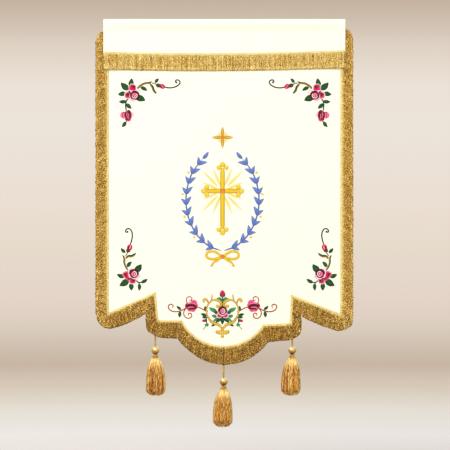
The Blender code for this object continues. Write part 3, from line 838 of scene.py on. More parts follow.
def fringe_heading(stations, back):
    """The woven heading as a domed band with slanting cross threads."""
    length = between(stations, np.array([0.0]))[-1]
    count = max(8, int(length / 0.0016))
    inner, outer, *_ = between(stations, np.linspace(0, 1, count))
    across = np.linspace(0, 1, 9)
    flat = inner[:, None] + (outer - inner)[:, None] * across[None, :, None]
    wave = np.cos(np.pi * (np.arange(count)[:, None] + np.round(4 * across)[None]))
    dome = np.sin(np.pi * np.clip(across, 0.02, 0.98)) ** 0.35
    high = (HEADING_THICK + 0.0002) * dome[None] + 0.00022 * wave
    x, z = flat[..., 0], flat[..., 1]
    face = back(x, z)
    points, faces = sheet(np.stack([x, face - high, z], axis=-1), np.stack([x, face - 0.0001, z], axis=-1))
    distance = np.linspace(0, length, count)
    width = across * HEADING_WIDE
    both = np.stack(np.broadcast_arrays(width[None] * 90, distance[:, None]), axis=-1).reshape(-1, 2)
    uv = np.concatenate([both, both])[faces]
    # Painted shade: the raised cross threads are drawn lighter and the sunken ones darker.
    return points, faces, uv, 0.5 + 0.25 * np.concatenate([wave.ravel(), wave.ravel()])


def add_fringe(name, stations, back, bright, vary=1.0, shaded_join=None):
    strands = fringe_strands(stations, back, bright, vary, shaded_join)
    strands = piece(f"{name}_strands", strands, fringe_finish, name)
    heading = piece(f"{name}_heading", fringe_heading(stations, back), heading_finish)
    return [strands, heading]


# Painted light: the header fringe is drawn lightest, the side and point fringes less, and the lower edges
# darkest.
header_pieces = add_fringe("header_fringe", header_stations(), header_back, bright=1.08, vary=1.6)
edge_pieces = []
for name in EDGES:
    bright = {"side": 0.5, "point": 0.24}.get(name.split("_")[0], 0.0)
    shaded_join = {"belly_fringe_left": 1.0, "belly_fringe_right": 0.0}.get(name)
    edge_pieces += add_fringe(name, edge_stations(name), trim_back, bright, shaded_join=shaded_join)


# Cloth

def edge_line(offset):
    """The line at a distance outside the fringe's inner edge, from the left point to the right one."""
    line = []
    for name, rows in EDGES.items():
        if name.startswith("side"):
            continue
        for row, step in zip(rows, trim_steps(name)):
            place = Vector((row.x, row.z)) + step * (offset / HEADING_WIDE)
            if not line or (place - line[-1]).length > SEWN_GAP:
                line.append(place)
    return line


def panel_grid(cell=0.010, rows=90):
    """Columns of the shaped cloth, from its top down to its hem."""
    line = edge_line(HEM_COVER)
    left = EDGES["side_fringe_left"][0].x - HEM_COVER
    right = EDGES["side_fringe_right"][-1].x + HEM_COVER
    feet = []
    for first, last in zip(line, line[1:]):
        cells = math.ceil((last - first).length / cell)
        feet += [first.lerp(last, step / cells) for step in range(cells)]
    feet.append(line[-1])
    feet[0].x = left
    feet[-1].x = right
    foot = np.array([tuple(place) for place in feet])
    head = np.linspace(left, right, len(foot))
    part = np.linspace(0, 1, rows + 1)[None]
    x = head[:, None] + (foot[:, :1] - head[:, None]) * smooth_step(part, 0, 0.75)
    z = PANEL_TOP + (foot[:, 1:] - PANEL_TOP) * part
    return x, z


HEM_INNER = -0.0080
HEM_OUTER = 0.0066
HEM_THICK = 0.0007


def hem_line(offset, cell=0.010):
    """Close points at a distance outside the fringe's inner edge, from the top left to the top right."""
    places, steps = [], []
    for name, rows in EDGES.items():
        for row, step in zip(rows, trim_steps(name)):
            place = Vector((row.x, row.z))
            if not places or (place - places[-1]).length > SEWN_GAP:
                places.append(place)
                steps.append(step * (offset / HEADING_WIDE))
    line = []
    for first, last, step, following in zip(places, places[1:], steps, steps[1:]):
        cells = math.ceil((last - first).length / cell)
        line += [(first + step).lerp(last + following, number / cells) for number in range(cells)]
    line.append(places[-1] + steps[-1])
    return np.array([tuple(place) for place in line])


def folded_hem():
    """The cloth's own turned edge, lying on its back."""
    inner, outer = hem_line(HEM_INNER), hem_line(HEM_OUTER)
    across = np.linspace(0, 1, 5)
    flat = inner[:, None] + (outer - inner)[:, None] * across[None, :, None]
    x, z = flat[..., 0], flat[..., 1]
    near = drape(x, z) + PANEL_THICK / 2 - 0.0002
    high = (HEM_THICK + 0.0002) * np.array((0.5, 1.0, 1.0, 1.0, 0.6))
    return sheet(np.stack([x, near + high, z], axis=-1), np.stack([x, near, z], axis=-1))


def add_cloth(name, points, faces, replaces):
    form = points, faces, points[faces][..., [0, 2]], None
    obj = piece(name, form, cloth_finish, replaces)
    obj.data.set_sharp_from_angle(angle=math.radians(35))
    return obj


def add_banner_cloth():
    x, z = panel_grid()
    y = drape(x, z)
    front = np.stack([x, y - PANEL_THICK / 2, z], axis=-1)
    back = np.stack([x, y + PANEL_THICK / 2, z], axis=-1)
    points, faces = sheet(front, back)
    hem_points, hem_faces = folded_hem()
    faces = np.concatenate([faces, hem_faces + len(points)])
    return add_cloth("banner_cloth", np.concatenate([points, hem_points]), faces, "ground_panel")


def narrowing(flat_y, rod_y, middle_z):
    """Points from the sleeve's flat part up to the rod's middle, as it widens round the rod."""
    line = []
    for part in np.linspace(0, 0.85, 7):
        ease = float(smooth_step(part, 0, 1))
        z = SLEEVE_FLAT_FROM + (middle_z - SLEEVE_FLAT_FROM) * part
        line.append((flat_y + (rod_y - flat_y) * ease, z))
    return line


def sleeve_profile(x):
    """The sleeve's middle line from the flap's hem over the rod to the back's."""
    radius = (ROD_ROOM + SLEEVE_THICK) / 2
    middle_z = -SLEEVE_THICK - ROD_ROOM / 2
    flap_y = float(flap_back(x)) - SLEEVE_THICK / 2
    rear_y = PANEL_THICK / 2 + SEWN_GAP + SLEEVE_THICK / 2
    flap_low = float(header_line(x)) - HEADING_WIDE
    line = [(flap_y, z) for z in np.linspace(flap_low, SLEEVE_FLAT_FROM, 8)[:-1]]
    line += narrowing(flap_y, -radius, middle_z)
    for degrees in range(180, -1, -10):
        turn = math.radians(degrees)
        line.append((radius * math.cos(turn), middle_z + radius * math.sin(turn)))
    line += reversed(narrowing(rear_y, radius, middle_z))
    line += [(rear_y, z) for z in np.linspace(SLEEVE_FLAT_FROM, SLEEVE_BACK_LOW, 8)[1:]]
    return np.array(line)


def add_sleeve_cloth():
    outer, inner = [], []
    for x in np.linspace(-SLEEVE_WIDE / 2, SLEEVE_WIDE / 2, 81):
        line = sleeve_profile(x)
        run = unit(np.gradient(line, axis=0))
        side = np.stack([-run[:, 1], run[:, 0]], axis=1) * SLEEVE_THICK / 2
        column = np.full((len(line), 1), x)
        outer.append(np.hstack([column, line + side]))
        inner.append(np.hstack([column, line - side]))
    return add_cloth("sleeve_cloth", *sheet(np.array(outer), np.array(inner)), "rod_sleeve")


STITCH_LONG = 0.0030
STITCH_THICK = 0.0004
STITCH_PITCH = 0.0043
THREAD_TINT = (236, 228, 204)
WHIP_LOOPS = 4
WHIP_FROM_TOP = 0.0018
WHIP_PITCH = 0.0027
WHIP_SLANT = 0.0012
SEAM_HALF = 0.395
SEAM_UP = 0.0050


def stitch_run(line, height):
    """Short raised stitches along a line of (x, z) points; height gives how far back each lies."""
    reach = distances(line)
    start = np.arange(0.004, reach[-1] - 0.006, STITCH_PITCH)
    place = start[:, None] + STITCH_LONG * np.linspace(0, 1, 5)
    x, z = (np.interp(place, reach, column) for column in line.T)
    y = np.broadcast_to(height(x, z) + 0.00025 * np.array((-1.0, 0.6, 1.0, 0.6, -1.0)), x.shape)
    radii = np.array((0.5, 0.9, 1.0, 0.9, 0.5)) * STITCH_THICK
    return in_one_shade(tubes(np.stack([x, y, z], axis=-1), radii, TO_BACK, 6))


def whip_stitches(tassel):
    """Thread loops over the cord's sewn end, on the back of the hem."""
    turn = np.radians(np.linspace(-15, 195, 13))
    radius = CORD_THICK / 2 + 0.0007
    x = tassel.sewn_x + radius * np.cos(turn)
    y = hang_y(tassel) + radius * np.sin(turn)
    loops = []
    for number in range(WHIP_LOOPS):
        z = tassel.edge_z + CORD_SEWN - WHIP_FROM_TOP - WHIP_PITCH * number
        path = np.stack([x, y, z + WHIP_SLANT * np.cos(turn)], axis=1)[None]
        loops.append(in_one_shade(tubes(path, STITCH_THICK, UP, 6)))
    return loops


def add_stitches(name, forms):
    points, faces, uv, _ = merged(forms)
    return piece(name, (points, faces, uv, np.tile(linear(THREAD_TINT), (len(points), 1))), thread_finish)


# Embroidery: raised satin stitch. A Blade is a leaf or petal from root to tip, a Vine a stem or scroll

Blade = namedtuple("Blade", "look column row tip_column tip_row wide bow", defaults=(0.0,))
Vine = namedtuple("Vine", "look wide points")
Look = namedtuple("Look", "shape lift dome root tip rim")

LOOKS = {
    "green stem": Look("vine", 0.0002, 0.0006, (60, 100, 30), (40, 84, 40), (30, 66, 30)),
    "gold stem": Look("vine", 0.0001, 0.0005, (206, 150, 24), (190, 140, 30), (150, 104, 20)),
    "dark stem": Look("vine", 0.0002, 0.0005, (26, 44, 26), (24, 34, 24), (12, 22, 16)),
    "tendril": Look("vine", 0.0002, 0.0005, (20, 28, 26), (10, 14, 14), (10, 14, 14)),
    "red vine": Look("vine", 0.0002, 0.0005, (176, 74, 40), (190, 84, 56), (134, 44, 30)),
    "leaf": Look("leaf", 0.0003, 0.0006, (10, 96, 44), (20, 74, 22), (4, 44, 22)),
    "light leaf": Look("leaf", 0.0003, 0.0006, (24, 110, 60), (96, 176, 110), (34, 128, 84)),
    "leaf vine": Look("scroll", 0.0002, 0.0006, (20, 84, 36), (14, 70, 36), (8, 52, 28)),
    "petal": Look("petal", 0.0005, 0.0008, (140, 0, 34), (230, 16, 96), (255, 176, 206)),
    "pale petal": Look("petal", 0.0004, 0.0006, (250, 190, 214), (255, 222, 234), (255, 214, 230)),
    "pink petal": Look("petal", 0.0005, 0.0008, (206, 26, 84), (240, 84, 140), (255, 150, 190)),
    "deep petal": Look("petal", 0.0006, 0.0008, (96, 0, 24), (176, 6, 46), (206, 28, 84)),
    "bud": Look("petal", 0.0006, 0.0008, (170, 6, 50), (226, 44, 100), (214, 30, 90)),
    "crimson fan": Look("fan", 0.0005, 0.0008, (216, 0, 84), (176, 0, 26), (255, 186, 212)),
    "crimson petal": Look("petal", 0.0005, 0.0008, (216, 0, 84), (176, 0, 26), (255, 196, 218)),
    "dark fan": Look("fan", 0.0009, 0.0006, (140, 0, 26), (104, 0, 18), (190, 0, 40)),
    "magenta": Look("vine", 0.0014, 0.0004, (250, 20, 130), (240, 16, 120), (226, 20, 100)),
    "heart of rose": Look("petal", 0.0011, 0.0006, (176, 0, 50), (206, 10, 74), (130, 0, 40)),
    "fold": Look("vine", 0.0018, 0.0004, (252, 196, 214), (244, 140, 176), (238, 100, 146)),
    "pale fold": Look("vine", 0.0014, 0.0004, (255, 236, 242), (255, 238, 244), (250, 196, 216)),
    "dark fold": Look("vine", 0.0018, 0.0004, (64, 0, 14), (92, 2, 26), (66, 0, 16)),
    "dark bead": Look("petal", 0.0002, 0.0006, (20, 26, 24), (12, 16, 16), (10, 14, 14)),
    "gold": Look("scroll", 0.0004, 0.0010, (222, 172, 28), (244, 214, 90), (146, 88, 0)),
    "thin gold": Look("vine", 0.0003, 0.0008, (220, 172, 44), (238, 202, 84), (170, 110, 14)),
    "gold leaf": Look("leaf", 0.0005, 0.0009, (210, 156, 34), (246, 206, 90), (186, 128, 24)),
    "gold bead": Look("petal", 0.0006, 0.0012, (248, 214, 84), (214, 158, 36), (160, 100, 8)),
    "yellow": Look("bar", 0.0006, 0.0010, (244, 212, 40), (240, 202, 30), (206, 150, 14)),
    "yellow bead": Look("petal", 0.0008, 0.0012, (250, 224, 70), (240, 202, 30), (206, 150, 14)),
    "ray": Look("leaf", 0.0002, 0.0005, (246, 220, 90), (252, 238, 170), (246, 224, 120)),
    "orange": Look("petal", 0.0010, 0.0010, (226, 120, 20), (238, 150, 40), (206, 96, 16)),
    "blue vine": Look("vine", 0.0003, 0.0008, (82, 110, 188), (102, 132, 203), (62, 88, 166)),
    "blue leaf": Look("leaf", 0.0004, 0.0008, (70, 97, 174), (132, 158, 218), (93, 120, 195)),
    "pale blue": Look("petal", 0.0010, 0.0010, (140, 200, 230), (170, 216, 240), (110, 170, 210)),
    "red": Look("petal", 0.0010, 0.0010, (214, 36, 36), (232, 70, 60), (180, 20, 28)),
}
SHAPES = {
    "leaf": lambda part: np.sin(np.pi * part**0.8) ** 0.85,
    "petal": lambda part: np.sin(np.pi * part) ** 0.5,
    "fan": lambda part: part**0.6 * (1 - part**8) ** 0.5,
    "vine": lambda part: np.minimum(1, 0.45 + 8 * part) * np.minimum(1, 0.35 + 5 * (1 - part)),
    "scroll": lambda part: 0.45 + 0.55 * np.sin(np.pi * part),
    "bar": lambda part: np.minimum(1, 0.6 + 14 * part) * np.minimum(1, 0.6 + 14 * (1 - part)),
}
ACROSS = np.array((-1.0, -0.93, -0.7, -0.35, 0.0, 0.35, 0.7, 0.93, 1.0))
STITCH_ORDER_LIFT = 0.000004


def smooth_line(points, lines):
    """Evenly spaced points on a smooth line through the given ones, and its length."""
    points = np.asarray(points, float)
    padded = np.concatenate([[2 * points[0] - points[1]], points, [2 * points[-1] - points[-2]]])
    part = np.linspace(0, 1, 12, endpoint=False)[:, None]
    dense = []
    for a, b, c, d in zip(padded, padded[1:], padded[2:], padded[3:]):
        square = (2 * a - 5 * b + 4 * c - d) * part**2
        cube = (3 * b - a - 3 * c + d) * part**3
        dense.append(0.5 * (2 * b + (c - a) * part + square + cube))
    dense = np.concatenate([*dense, points[-1:]])
    reach = distances(dense)
    return along_line(np.linspace(0, reach[-1], lines), reach, dense), reach[-1]


def stitched(shape, order):
    """The form of one leaf, petal or vine, domed above the cloth. A later one lies a hair higher."""
    look = LOOKS[shape.look]
    if isinstance(shape, Blade):
        root = np.array(at(shape.column, shape.row))
        tip = np.array(at(shape.tip_column, shape.tip_row))
        run = tip - root
        sideways = np.array((-run[1], run[0])) / np.linalg.norm(run)
        middle = (root + tip) / 2 + sideways * shape.bow * PIXEL
        line, length = smooth_line((root, middle, tip), 13)
    else:
        lines = max(9, 5 * len(shape.points))
        line, length = smooth_line([at(*point) for point in shape.points], lines)
    along = unit(np.gradient(line, axis=0))
    side = np.stack([-along[:, 1], along[:, 0]], axis=1)
    part = np.linspace(0.004, 0.996, len(line))
    share = SHAPES[look.shape](part)
    half = share * shape.wide * PIXEL / 2
    flat = line[:, None] + side[:, None] * (half[:, None] * ACROSS)[..., None]
    dome = np.sqrt(1 - (0.93 * ACROSS) ** 2)
    if look.shape == "leaf":
        dome = dome - 0.3 * np.exp(-((ACROSS / 0.22) ** 2))
    high = look.lift + STITCH_ORDER_LIFT * order
    high = high + look.dome * dome[None] * np.minimum(1, 2.5 * share)[:, None]
    high[:, (0, -1)] = -0.0001
    high[(0, -1), :] = -0.0001
    x, z = flat[..., 0], flat[..., 1]
    points = np.stack([x, drape(x, z) - PANEL_THICK / 2 - high, z], axis=-1).reshape(-1, 3)
    faces, steps = grid_faces(1, len(line), len(ACROSS), False)
    distance = np.linspace(0, length, len(line))
    uv = np.stack([half[steps[..., 1]] * ACROSS[steps[..., 0]], distance[steps[..., 1]]], axis=-1)
    root_tint, tip_tint, rim_tint = (linear(colour) for colour in (look.root, look.tip, look.rim))
    if look.shape in ("petal", "fan"):
        end = np.clip((part[:, None] - 0.8) / 0.19, 0, 1) ** 1.5
        outer = np.clip(np.abs(ACROSS[None]) ** 4.5 + end, 0, 1)
    else:
        outer = np.broadcast_to(np.abs(ACROSS[None]) ** 1.6, (len(line), len(ACROSS)))
    inner_tint = root_tint + (tip_tint - root_tint) * part[:, None, None]
    tint = inner_tint + (rim_tint - inner_tint) * outer[..., None]
    return points, faces, uv, tint.reshape(-1, 3)


def arc(column, row, radius, start, end):
    """Points round a centre, by angles in degrees from the right, clockwise as seen from the front."""
    turns = np.radians(np.linspace(start, end, 7))
    return tuple((column + radius * math.cos(turn), row + radius * math.sin(turn)) for turn in turns)


def round_bead(look, column, row, wide):
    return Blade(look, column, row - wide / 2, column, row + wide / 2, wide)


def blades(look, *shapes):
    return [Blade(look, *shape) for shape in shapes]


def vines(look, *shapes):
    return [Vine(look, wide, points) for wide, points in shapes]


def bloom(column, row, radius, turn):
    """The rolled middle of a rose: dark and pale folds by turns round its heart, with a whorl inside."""
    shapes = [round_bead("heart of rose", column, row, 2 * radius)]
    for look, wide, reach, begin, end in (
        ("dark fold", 0.40, 0.82, -20, 185),
        ("pale fold", 0.22, 0.96, 185, 335),
        ("dark fold", 0.18, 0.76, 200, 320),
        ("pale fold", 0.20, 0.52, 60, 280),
        ("fold", 0.20, 0.36, -90, 110),
        ("pale fold", 0.18, 0.14, 60, 260),
    ):
        shapes.append(Vine(look, wide * radius, arc(column, row, reach * radius, turn + begin, turn + end)))
    return shapes


def rimmed(look, column, row, tip_column, tip_row, wide, bow=0.0, rim=0.6):
    """A petal over a paler one that shows round it as a rim."""
    run = math.hypot(tip_column - column, tip_row - row)
    more = rim / run
    beyond = (tip_column + more * (tip_column - column), tip_row + more * (tip_row - row))
    return [
        Blade("pale petal", column, row, *beyond, wide + 1.7 * rim, bow),
        Blade(look, column, row, tip_column, tip_row, wide, bow),
    ]


def two_tone(wide, shift, points):
    """A green stem with a gold one sewn close beside it."""
    beside = tuple((column + shift[0], row + shift[1]) for column, row in points)
    return [Vine("gold stem", wide, beside), Vine("green stem", wide, points)]


# Columns that the right-hand motifs mirror the left-hand ones about, and rows of the emblem
UPPER_AXIS = 224.7
LOWER_AXIS = 227.05
MOTIF_AXIS = 222.5
CROSS_ROW = 191.0
STAR_ROW = 137.4

UPPER_SPRAY = [
    *two_tone(1.3, (0.3, 0.9), ((137.2, 88.3), (140.4, 85.2), (144.8, 83.0), (148.8, 82.6), (151.8, 81.2))),
    Vine("gold stem", 1.5, ((150.0, 84.4), (152.2, 87.6), (153.4, 91.0), (156.0, 93.8))),
    Vine("leaf vine", 2.0, ((149.6, 83.4), (152.6, 86.6), (153.9, 90.2), (156.6, 93.4))),
    Vine("dark stem", 0.9, ((151.8, 83.4), (154.2, 83.2), (157.0, 85.2))),
    Vine("tendril", 1.3, (
        (163.8, 86.6), (167.4, 87.7), (171.4, 87.8), (175.4, 86.8), (179.0, 84.6), (180.0, 81.8),
        (178.2, 80.0), (175.8, 80.4), (175.6, 82.4), (177.0, 82.8),
    )),
    *vines(
        "dark stem",
        (1.3, ((128.4, 98.4), (126.4, 101.0), (125.6, 105.0), (126.4, 111.4))),
        (0.9, ((127.0, 120.6), (126.4, 121.8), (125.4, 122.6))),
    ),
    *blades(
        "leaf",
        (129.0, 89.6, 120.9, 82.5, 6.2, 0.6), (129.8, 86.8, 131.7, 78.2, 5.2, -0.5),
        (125.6, 92.6, 117.8, 94.4, 4.8, 0.5), (126.2, 101.0, 118.9, 101.7, 3.8, 0.5),
        (135.6, 97.4, 145.3, 100.6, 6.6, 0.6), (140.4, 87.2, 147.2, 90.9, 3.8, 0.5),
        (126.4, 103.4, 131.7, 108.6, 4.0, -0.4), (155.2, 82.9, 159.0, 78.6, 3.2, 0.4),
        (125.8, 121.6, 121.9, 127.1, 3.8, 0.4),
    ),
    *rimmed("crimson petal", 133.4, 92.0, 132.6, 83.7, 7.8, 0.6, 0.5),
    Blade("dark fan", 133.4, 90.2, 134.2, 85.2, 4.4),
    Vine("magenta", 1.5, ((129.2, 89.2), (132.6, 89.6), (136.4, 89.0))),
    *rimmed("crimson petal", 132.6, 94.4, 124.3, 95.3, 7.4, 0.3, 0.6),
    Blade("dark fan", 131.0, 93.6, 126.4, 95.0, 4.4),
    *rimmed("pink petal", 134.0, 96.4, 131.2, 100.4, 5.2, 0.0, 0.7),
    *bloom(134.6, 95.5, 4.9, 250),
    Vine("dark fold", 1.2, ((128.6, 90.6), (130.3, 93.2), (130.7, 96.6), (132.4, 99.2))),
    Vine("pale fold", 1.3, (
        (129.0, 90.4), (132.2, 91.3), (136.0, 90.7), (139.4, 90.1), (140.7, 91.8), (140.4, 94.2),
    )),
    Blade("leaf", 155.8, 84.7, 161.6, 87.0, 4.2, 0.2),
    Blade("bud", 159.2, 85.4, 165.0, 88.0, 4.8, 0.3),
    Blade("dark fan", 157.8, 84.8, 161.8, 86.8, 3.6),
    Vine("fold", 0.6, ((161.0, 85.2), (162.6, 86.6), (163.6, 88.4))),
    round_bead("dark bead", 176.4, 82.4, 2.0),
    round_bead("pink petal", 123.5, 115.2, 7.0),
    round_bead("pale petal", 131.2, 114.8, 6.0),
    Blade("petal", 125.0, 119.2, 131.4, 119.4, 4.6),
    Blade("deep petal", 128.4, 109.8, 127.6, 121.2, 6.4, 0.8),
    Vine("dark fold", 1.1, ((125.8, 111.4), (125.2, 115.4), (126.8, 120.0))),
    *vines(
        "fold",
        (0.7, ((122.4, 112.6), (121.4, 115.4), (122.6, 118.0))),
        (0.7, ((124.2, 112.8), (123.6, 115.6), (124.4, 118.2))),
        (0.6, ((127.2, 112.4), (127.0, 115.6), (127.8, 118.4))),
    ),
    Vine("dark fold", 0.7, ((129.4, 111.6), (130.0, 115.2), (129.2, 119.0))),
    Vine("fold", 0.5, ((128.6, 113.6), (128.8, 116.6), (128.6, 119.6))),
]
LOWER_SPRAY = [
    Vine("tendril", 1.3, (
        (130.2, 244.8), (131.5, 240.8), (132.3, 236.4), (131.9, 232.0), (129.8, 229.0), (127.2, 228.8),
        (125.6, 230.6), (126.2, 232.4), (128.0, 231.8),
    )),
    Vine("dark stem", 0.9, ((128.6, 251.0), (127.0, 253.6), (125.4, 256.3))),
    *two_tone(1.3, (0.8, 0.4), (
        (122.7, 255.0), (124.0, 258.4), (124.0, 262.6), (125.4, 266.6), (128.0, 270.6),
    )),
    Vine("gold stem", 1.5, ((126.2, 258.6), (128.2, 256.8), (132.0, 256.6), (135.6, 254.4))),
    Vine("leaf vine", 2.0, ((125.6, 258.4), (128.0, 256.0), (132.0, 255.6), (136.0, 253.0))),
    *vines(
        "dark stem",
        (1.2, ((135.6, 279.4), (137.6, 281.8), (140.2, 282.6), (142.4, 281.8))),
        (0.9, ((138.8, 282.2), (139.2, 285.0))),
    ),
    *blades(
        "leaf",
        (125.4, 252.8, 120.9, 248.1, 3.4, 0.3), (127.2, 267.2, 131.8, 261.6, 3.8, 0.5),
        (134.8, 271.8, 141.4, 264.2, 6.4, -0.5), (124.6, 276.8, 116.9, 274.2, 4.4, 0.5),
        (128.8, 279.4, 119.4, 285.8, 6.6, 0.5), (130.8, 283.0, 131.3, 290.6, 4.8, 0.3),
        (141.0, 282.6, 147.7, 278.9, 3.6, -0.4), (139.1, 283.4, 139.1, 290.8, 3.6, 0.4),
        (127.4, 252.4, 130.0, 247.6, 4.2),
    ),
    Blade("bud", 128.4, 250.4, 130.4, 244.2, 5.4, -0.3),
    Blade("dark fan", 127.8, 252.0, 129.4, 246.2, 3.4, 0.3),
    Blade("dark bead", 127.0, 252.4, 128.6, 248.0, 2.6, 0.3),
    Vine("pale fold", 0.6, ((129.4, 249.2), (130.2, 247.4), (130.6, 245.4))),
    Blade("crimson fan", 129.4, 281.0, 124.3, 271.3, 9.4),
    Blade("dark fan", 127.0, 277.6, 124.6, 272.8, 3.2),
    Vine("magenta", 1.7, ((127.8, 272.6), (128.0, 275.6), (128.2, 279.2))),
    *rimmed("crimson petal", 132.0, 276.8, 133.0, 284.0, 7.4, 0.0, 0.6),
    Blade("dark fan", 132.6, 277.6, 134.4, 281.8, 3.2),
    *rimmed("pink petal", 135.2, 275.0, 138.2, 278.0, 5.0, 0.2, 0.7),
    *bloom(133.9, 273.9, 5.0, 190),
    Blade("crimson petal", 130.6, 276.2, 134.6, 279.2, 2.6),
    Vine("pale fold", 1.5, ((131.4, 268.6), (129.0, 269.6), (129.0, 273.4), (129.6, 277.6))),
    Vine("dark fold", 1.0, ((128.2, 279.4), (130.6, 278.4), (133.0, 279.2))),
    round_bead("dark bead", 127.6, 231.8, 2.0),
]
ORNAMENT_HALF = [
    *vines(
        "red vine",
        (1.1, ((208.0, 311.6), (204.6, 310.4), (200.8, 308.2), (196.4, 306.8))),
        (1.2, (
            (187.0, 307.6), (182.4, 310.0), (177.4, 311.6), (172.2, 311.2), (168.8, 308.6), (168.6, 305.6),
            (171.0, 304.2), (173.2, 305.8), (172.0, 308.4),
        )),
        (1.0, (
            (188.4, 304.4), (186.4, 301.2), (187.0, 297.8), (189.8, 296.6), (192.0, 298.4), (190.8, 300.6),
            (189.0, 299.6),
        )),
        (1.1, (
            (186.6, 308.0), (183.9, 311.6), (184.4, 316.0), (188.0, 318.4), (191.4, 316.8), (191.2, 313.8),
            (188.8, 313.2), (188.2, 315.0), (189.6, 315.4),
        )),
    ),
    *vines(
        "dark stem",
        (0.9, ((208.2, 316.4), (206.4, 318.6), (206.6, 322.4), (207.6, 325.0))),
        (0.6, ((206.6, 325.0), (204.8, 327.4), (202.8, 329.8))),
    ),
    Vine("gold", 1.3, ((210.6, 301.4), (211.8, 297.8), (212.2, 294.0))),
    Vine("thin gold", 1.6, (
        (217.4, 300.4), (214.2, 299.8), (210.6, 301.6), (207.4, 306.0), (206.5, 311.6), (208.2, 317.4),
        (212.6, 322.4), (217.6, 325.0), (221.8, 329.0),
    )),
    *vines(
        "gold",
        (2.9, (
            (217.6, 306.6), (220.2, 306.6), (221.2, 304.0), (219.4, 301.2), (215.4, 299.8), (211.4, 300.6),
        )),
        (3.0, ((207.6, 316.0), (210.6, 320.8), (215.0, 323.6), (219.4, 325.2), (222.0, 329.4))),
    ),
    round_bead("gold bead", 217.5, 306.0, 3.4),
    Vine("gold", 2.1, ((208.6, 304.0), (207.4, 300.8), (205.2, 299.0), (203.2, 300.0), (203.8, 302.0))),
    round_bead("gold bead", 203.9, 301.2, 2.4),
    Blade("gold bead", 222.4, 332.4, 216.0, 331.6, 4.0, 0.4),
    round_bead("gold bead", 217.6, 331.8, 4.2),
    *blades(
        "leaf",
        (181.2, 309.6, 176.6, 305.8, 2.8, 0.3), (180.4, 311.4, 179.6, 317.6, 3.4, -0.3),
        (205.4, 311.0, 205.2, 305.8, 2.8), (206.6, 316.2, 200.6, 313.8, 3.2, -0.3),
        (206.8, 317.0, 201.8, 317.0, 2.4, 0.3),
    ),
    *blades("light leaf", (207.6, 325.2, 204.4, 324.2, 2.4, 0.2), (207.6, 323.0, 207.6, 327.0, 2.2)),
    *blades("leaf", (215.0, 324.2, 211.0, 326.0, 2.2, 0.2), (218.6, 313.4, 213.4, 310.6, 3.2, 0.4)),
    *blades("light leaf", (217.0, 311.4, 208.8, 307.4, 4.2, 0.5), (216.8, 316.6, 211.6, 315.0, 3.4, 0.3)),
    Blade("leaf", 220.6, 316.8, 215.8, 322.6, 3.8, 0.4),
    *blades(
        "light leaf",
        (218.0, 317.8, 213.0, 321.2, 3.0, 0.3), (222.4, 301.0, 216.6, 298.2, 3.6, -0.4),
        (222.2, 300.6, 218.6, 296.8, 2.6, 0.3),
    ),
    Blade("leaf", 207.0, 319.6, 204.0, 321.6, 3.2),
    Blade("bud", 205.4, 320.4, 202.0, 321.0, 2.8),
    *blades("pink petal", (191.6, 306.0, 195.2, 299.8, 7.0, -0.4), (191.4, 306.0, 189.4, 302.0, 5.0, 0.4)),
    Blade("petal", 192.0, 306.0, 198.0, 304.4, 5.2, -0.2),
    *blades("pink petal", (191.0, 306.4, 188.8, 311.6, 5.8), (191.6, 306.4, 194.4, 311.8, 5.8)),
    *blades("deep petal", (192.4, 306.0, 184.8, 305.4, 6.6, 0.2), (190.0, 305.4, 197.4, 307.6, 6.2, -0.2)),
    Vine("fold", 0.7, ((187.0, 304.2), (190.4, 303.0), (194.4, 303.6), (196.8, 305.8))),
    Vine("dark fold", 1.5, ((186.2, 306.0), (190.0, 304.8), (193.8, 305.2), (196.8, 307.2))),
    Vine("fold", 0.8, ((187.4, 307.8), (190.6, 307.0), (194.4, 307.4))),
    Vine("dark fold", 1.2, ((188.0, 309.2), (191.4, 308.6), (195.6, 308.8))),
]
ORNAMENT_MIDDLE = [
    Vine("green stem", 1.0, ((222.5, 306.6), (222.6, 301.0), (222.5, 295.4))),
    Vine("gold", 3.0, ((222.4, 326.6), (222.3, 331.6), (222.3, 337.0))),
    round_bead("gold bead", 222.3, 336.2, 3.4),
    *blades(
        "leaf",
        (222.4, 317.0, 222.4, 324.6, 4.0), (221.6, 297.2, 220.2, 292.4, 2.2, 0.2),
        (223.4, 297.2, 224.8, 292.4, 2.2, -0.2),
    ),
    Blade("bud", 222.5, 296.2, 222.5, 290.2, 4.8),
    *rimmed("petal", 222.3, 313.8, 216.8, 315.8, 4.8, 0.5, 0.7),
    *rimmed("petal", 222.7, 313.8, 228.2, 315.8, 4.8, -0.5, 0.7),
    *blades("deep petal", (222.3, 314.2, 218.2, 315.8, 3.2, 0.2), (222.7, 314.2, 226.8, 315.8, 3.2, -0.2)),
    *bloom(222.5, 311.0, 4.6, 200),
    *vines(
        "fold",
        (0.8, ((217.6, 311.6), (219.2, 314.4), (222.4, 316.6))),
        (0.8, ((227.4, 311.6), (225.8, 314.4), (222.6, 316.6))),
    ),
    Blade("deep petal", 222.5, 312.8, 222.5, 318.0, 2.8),
]


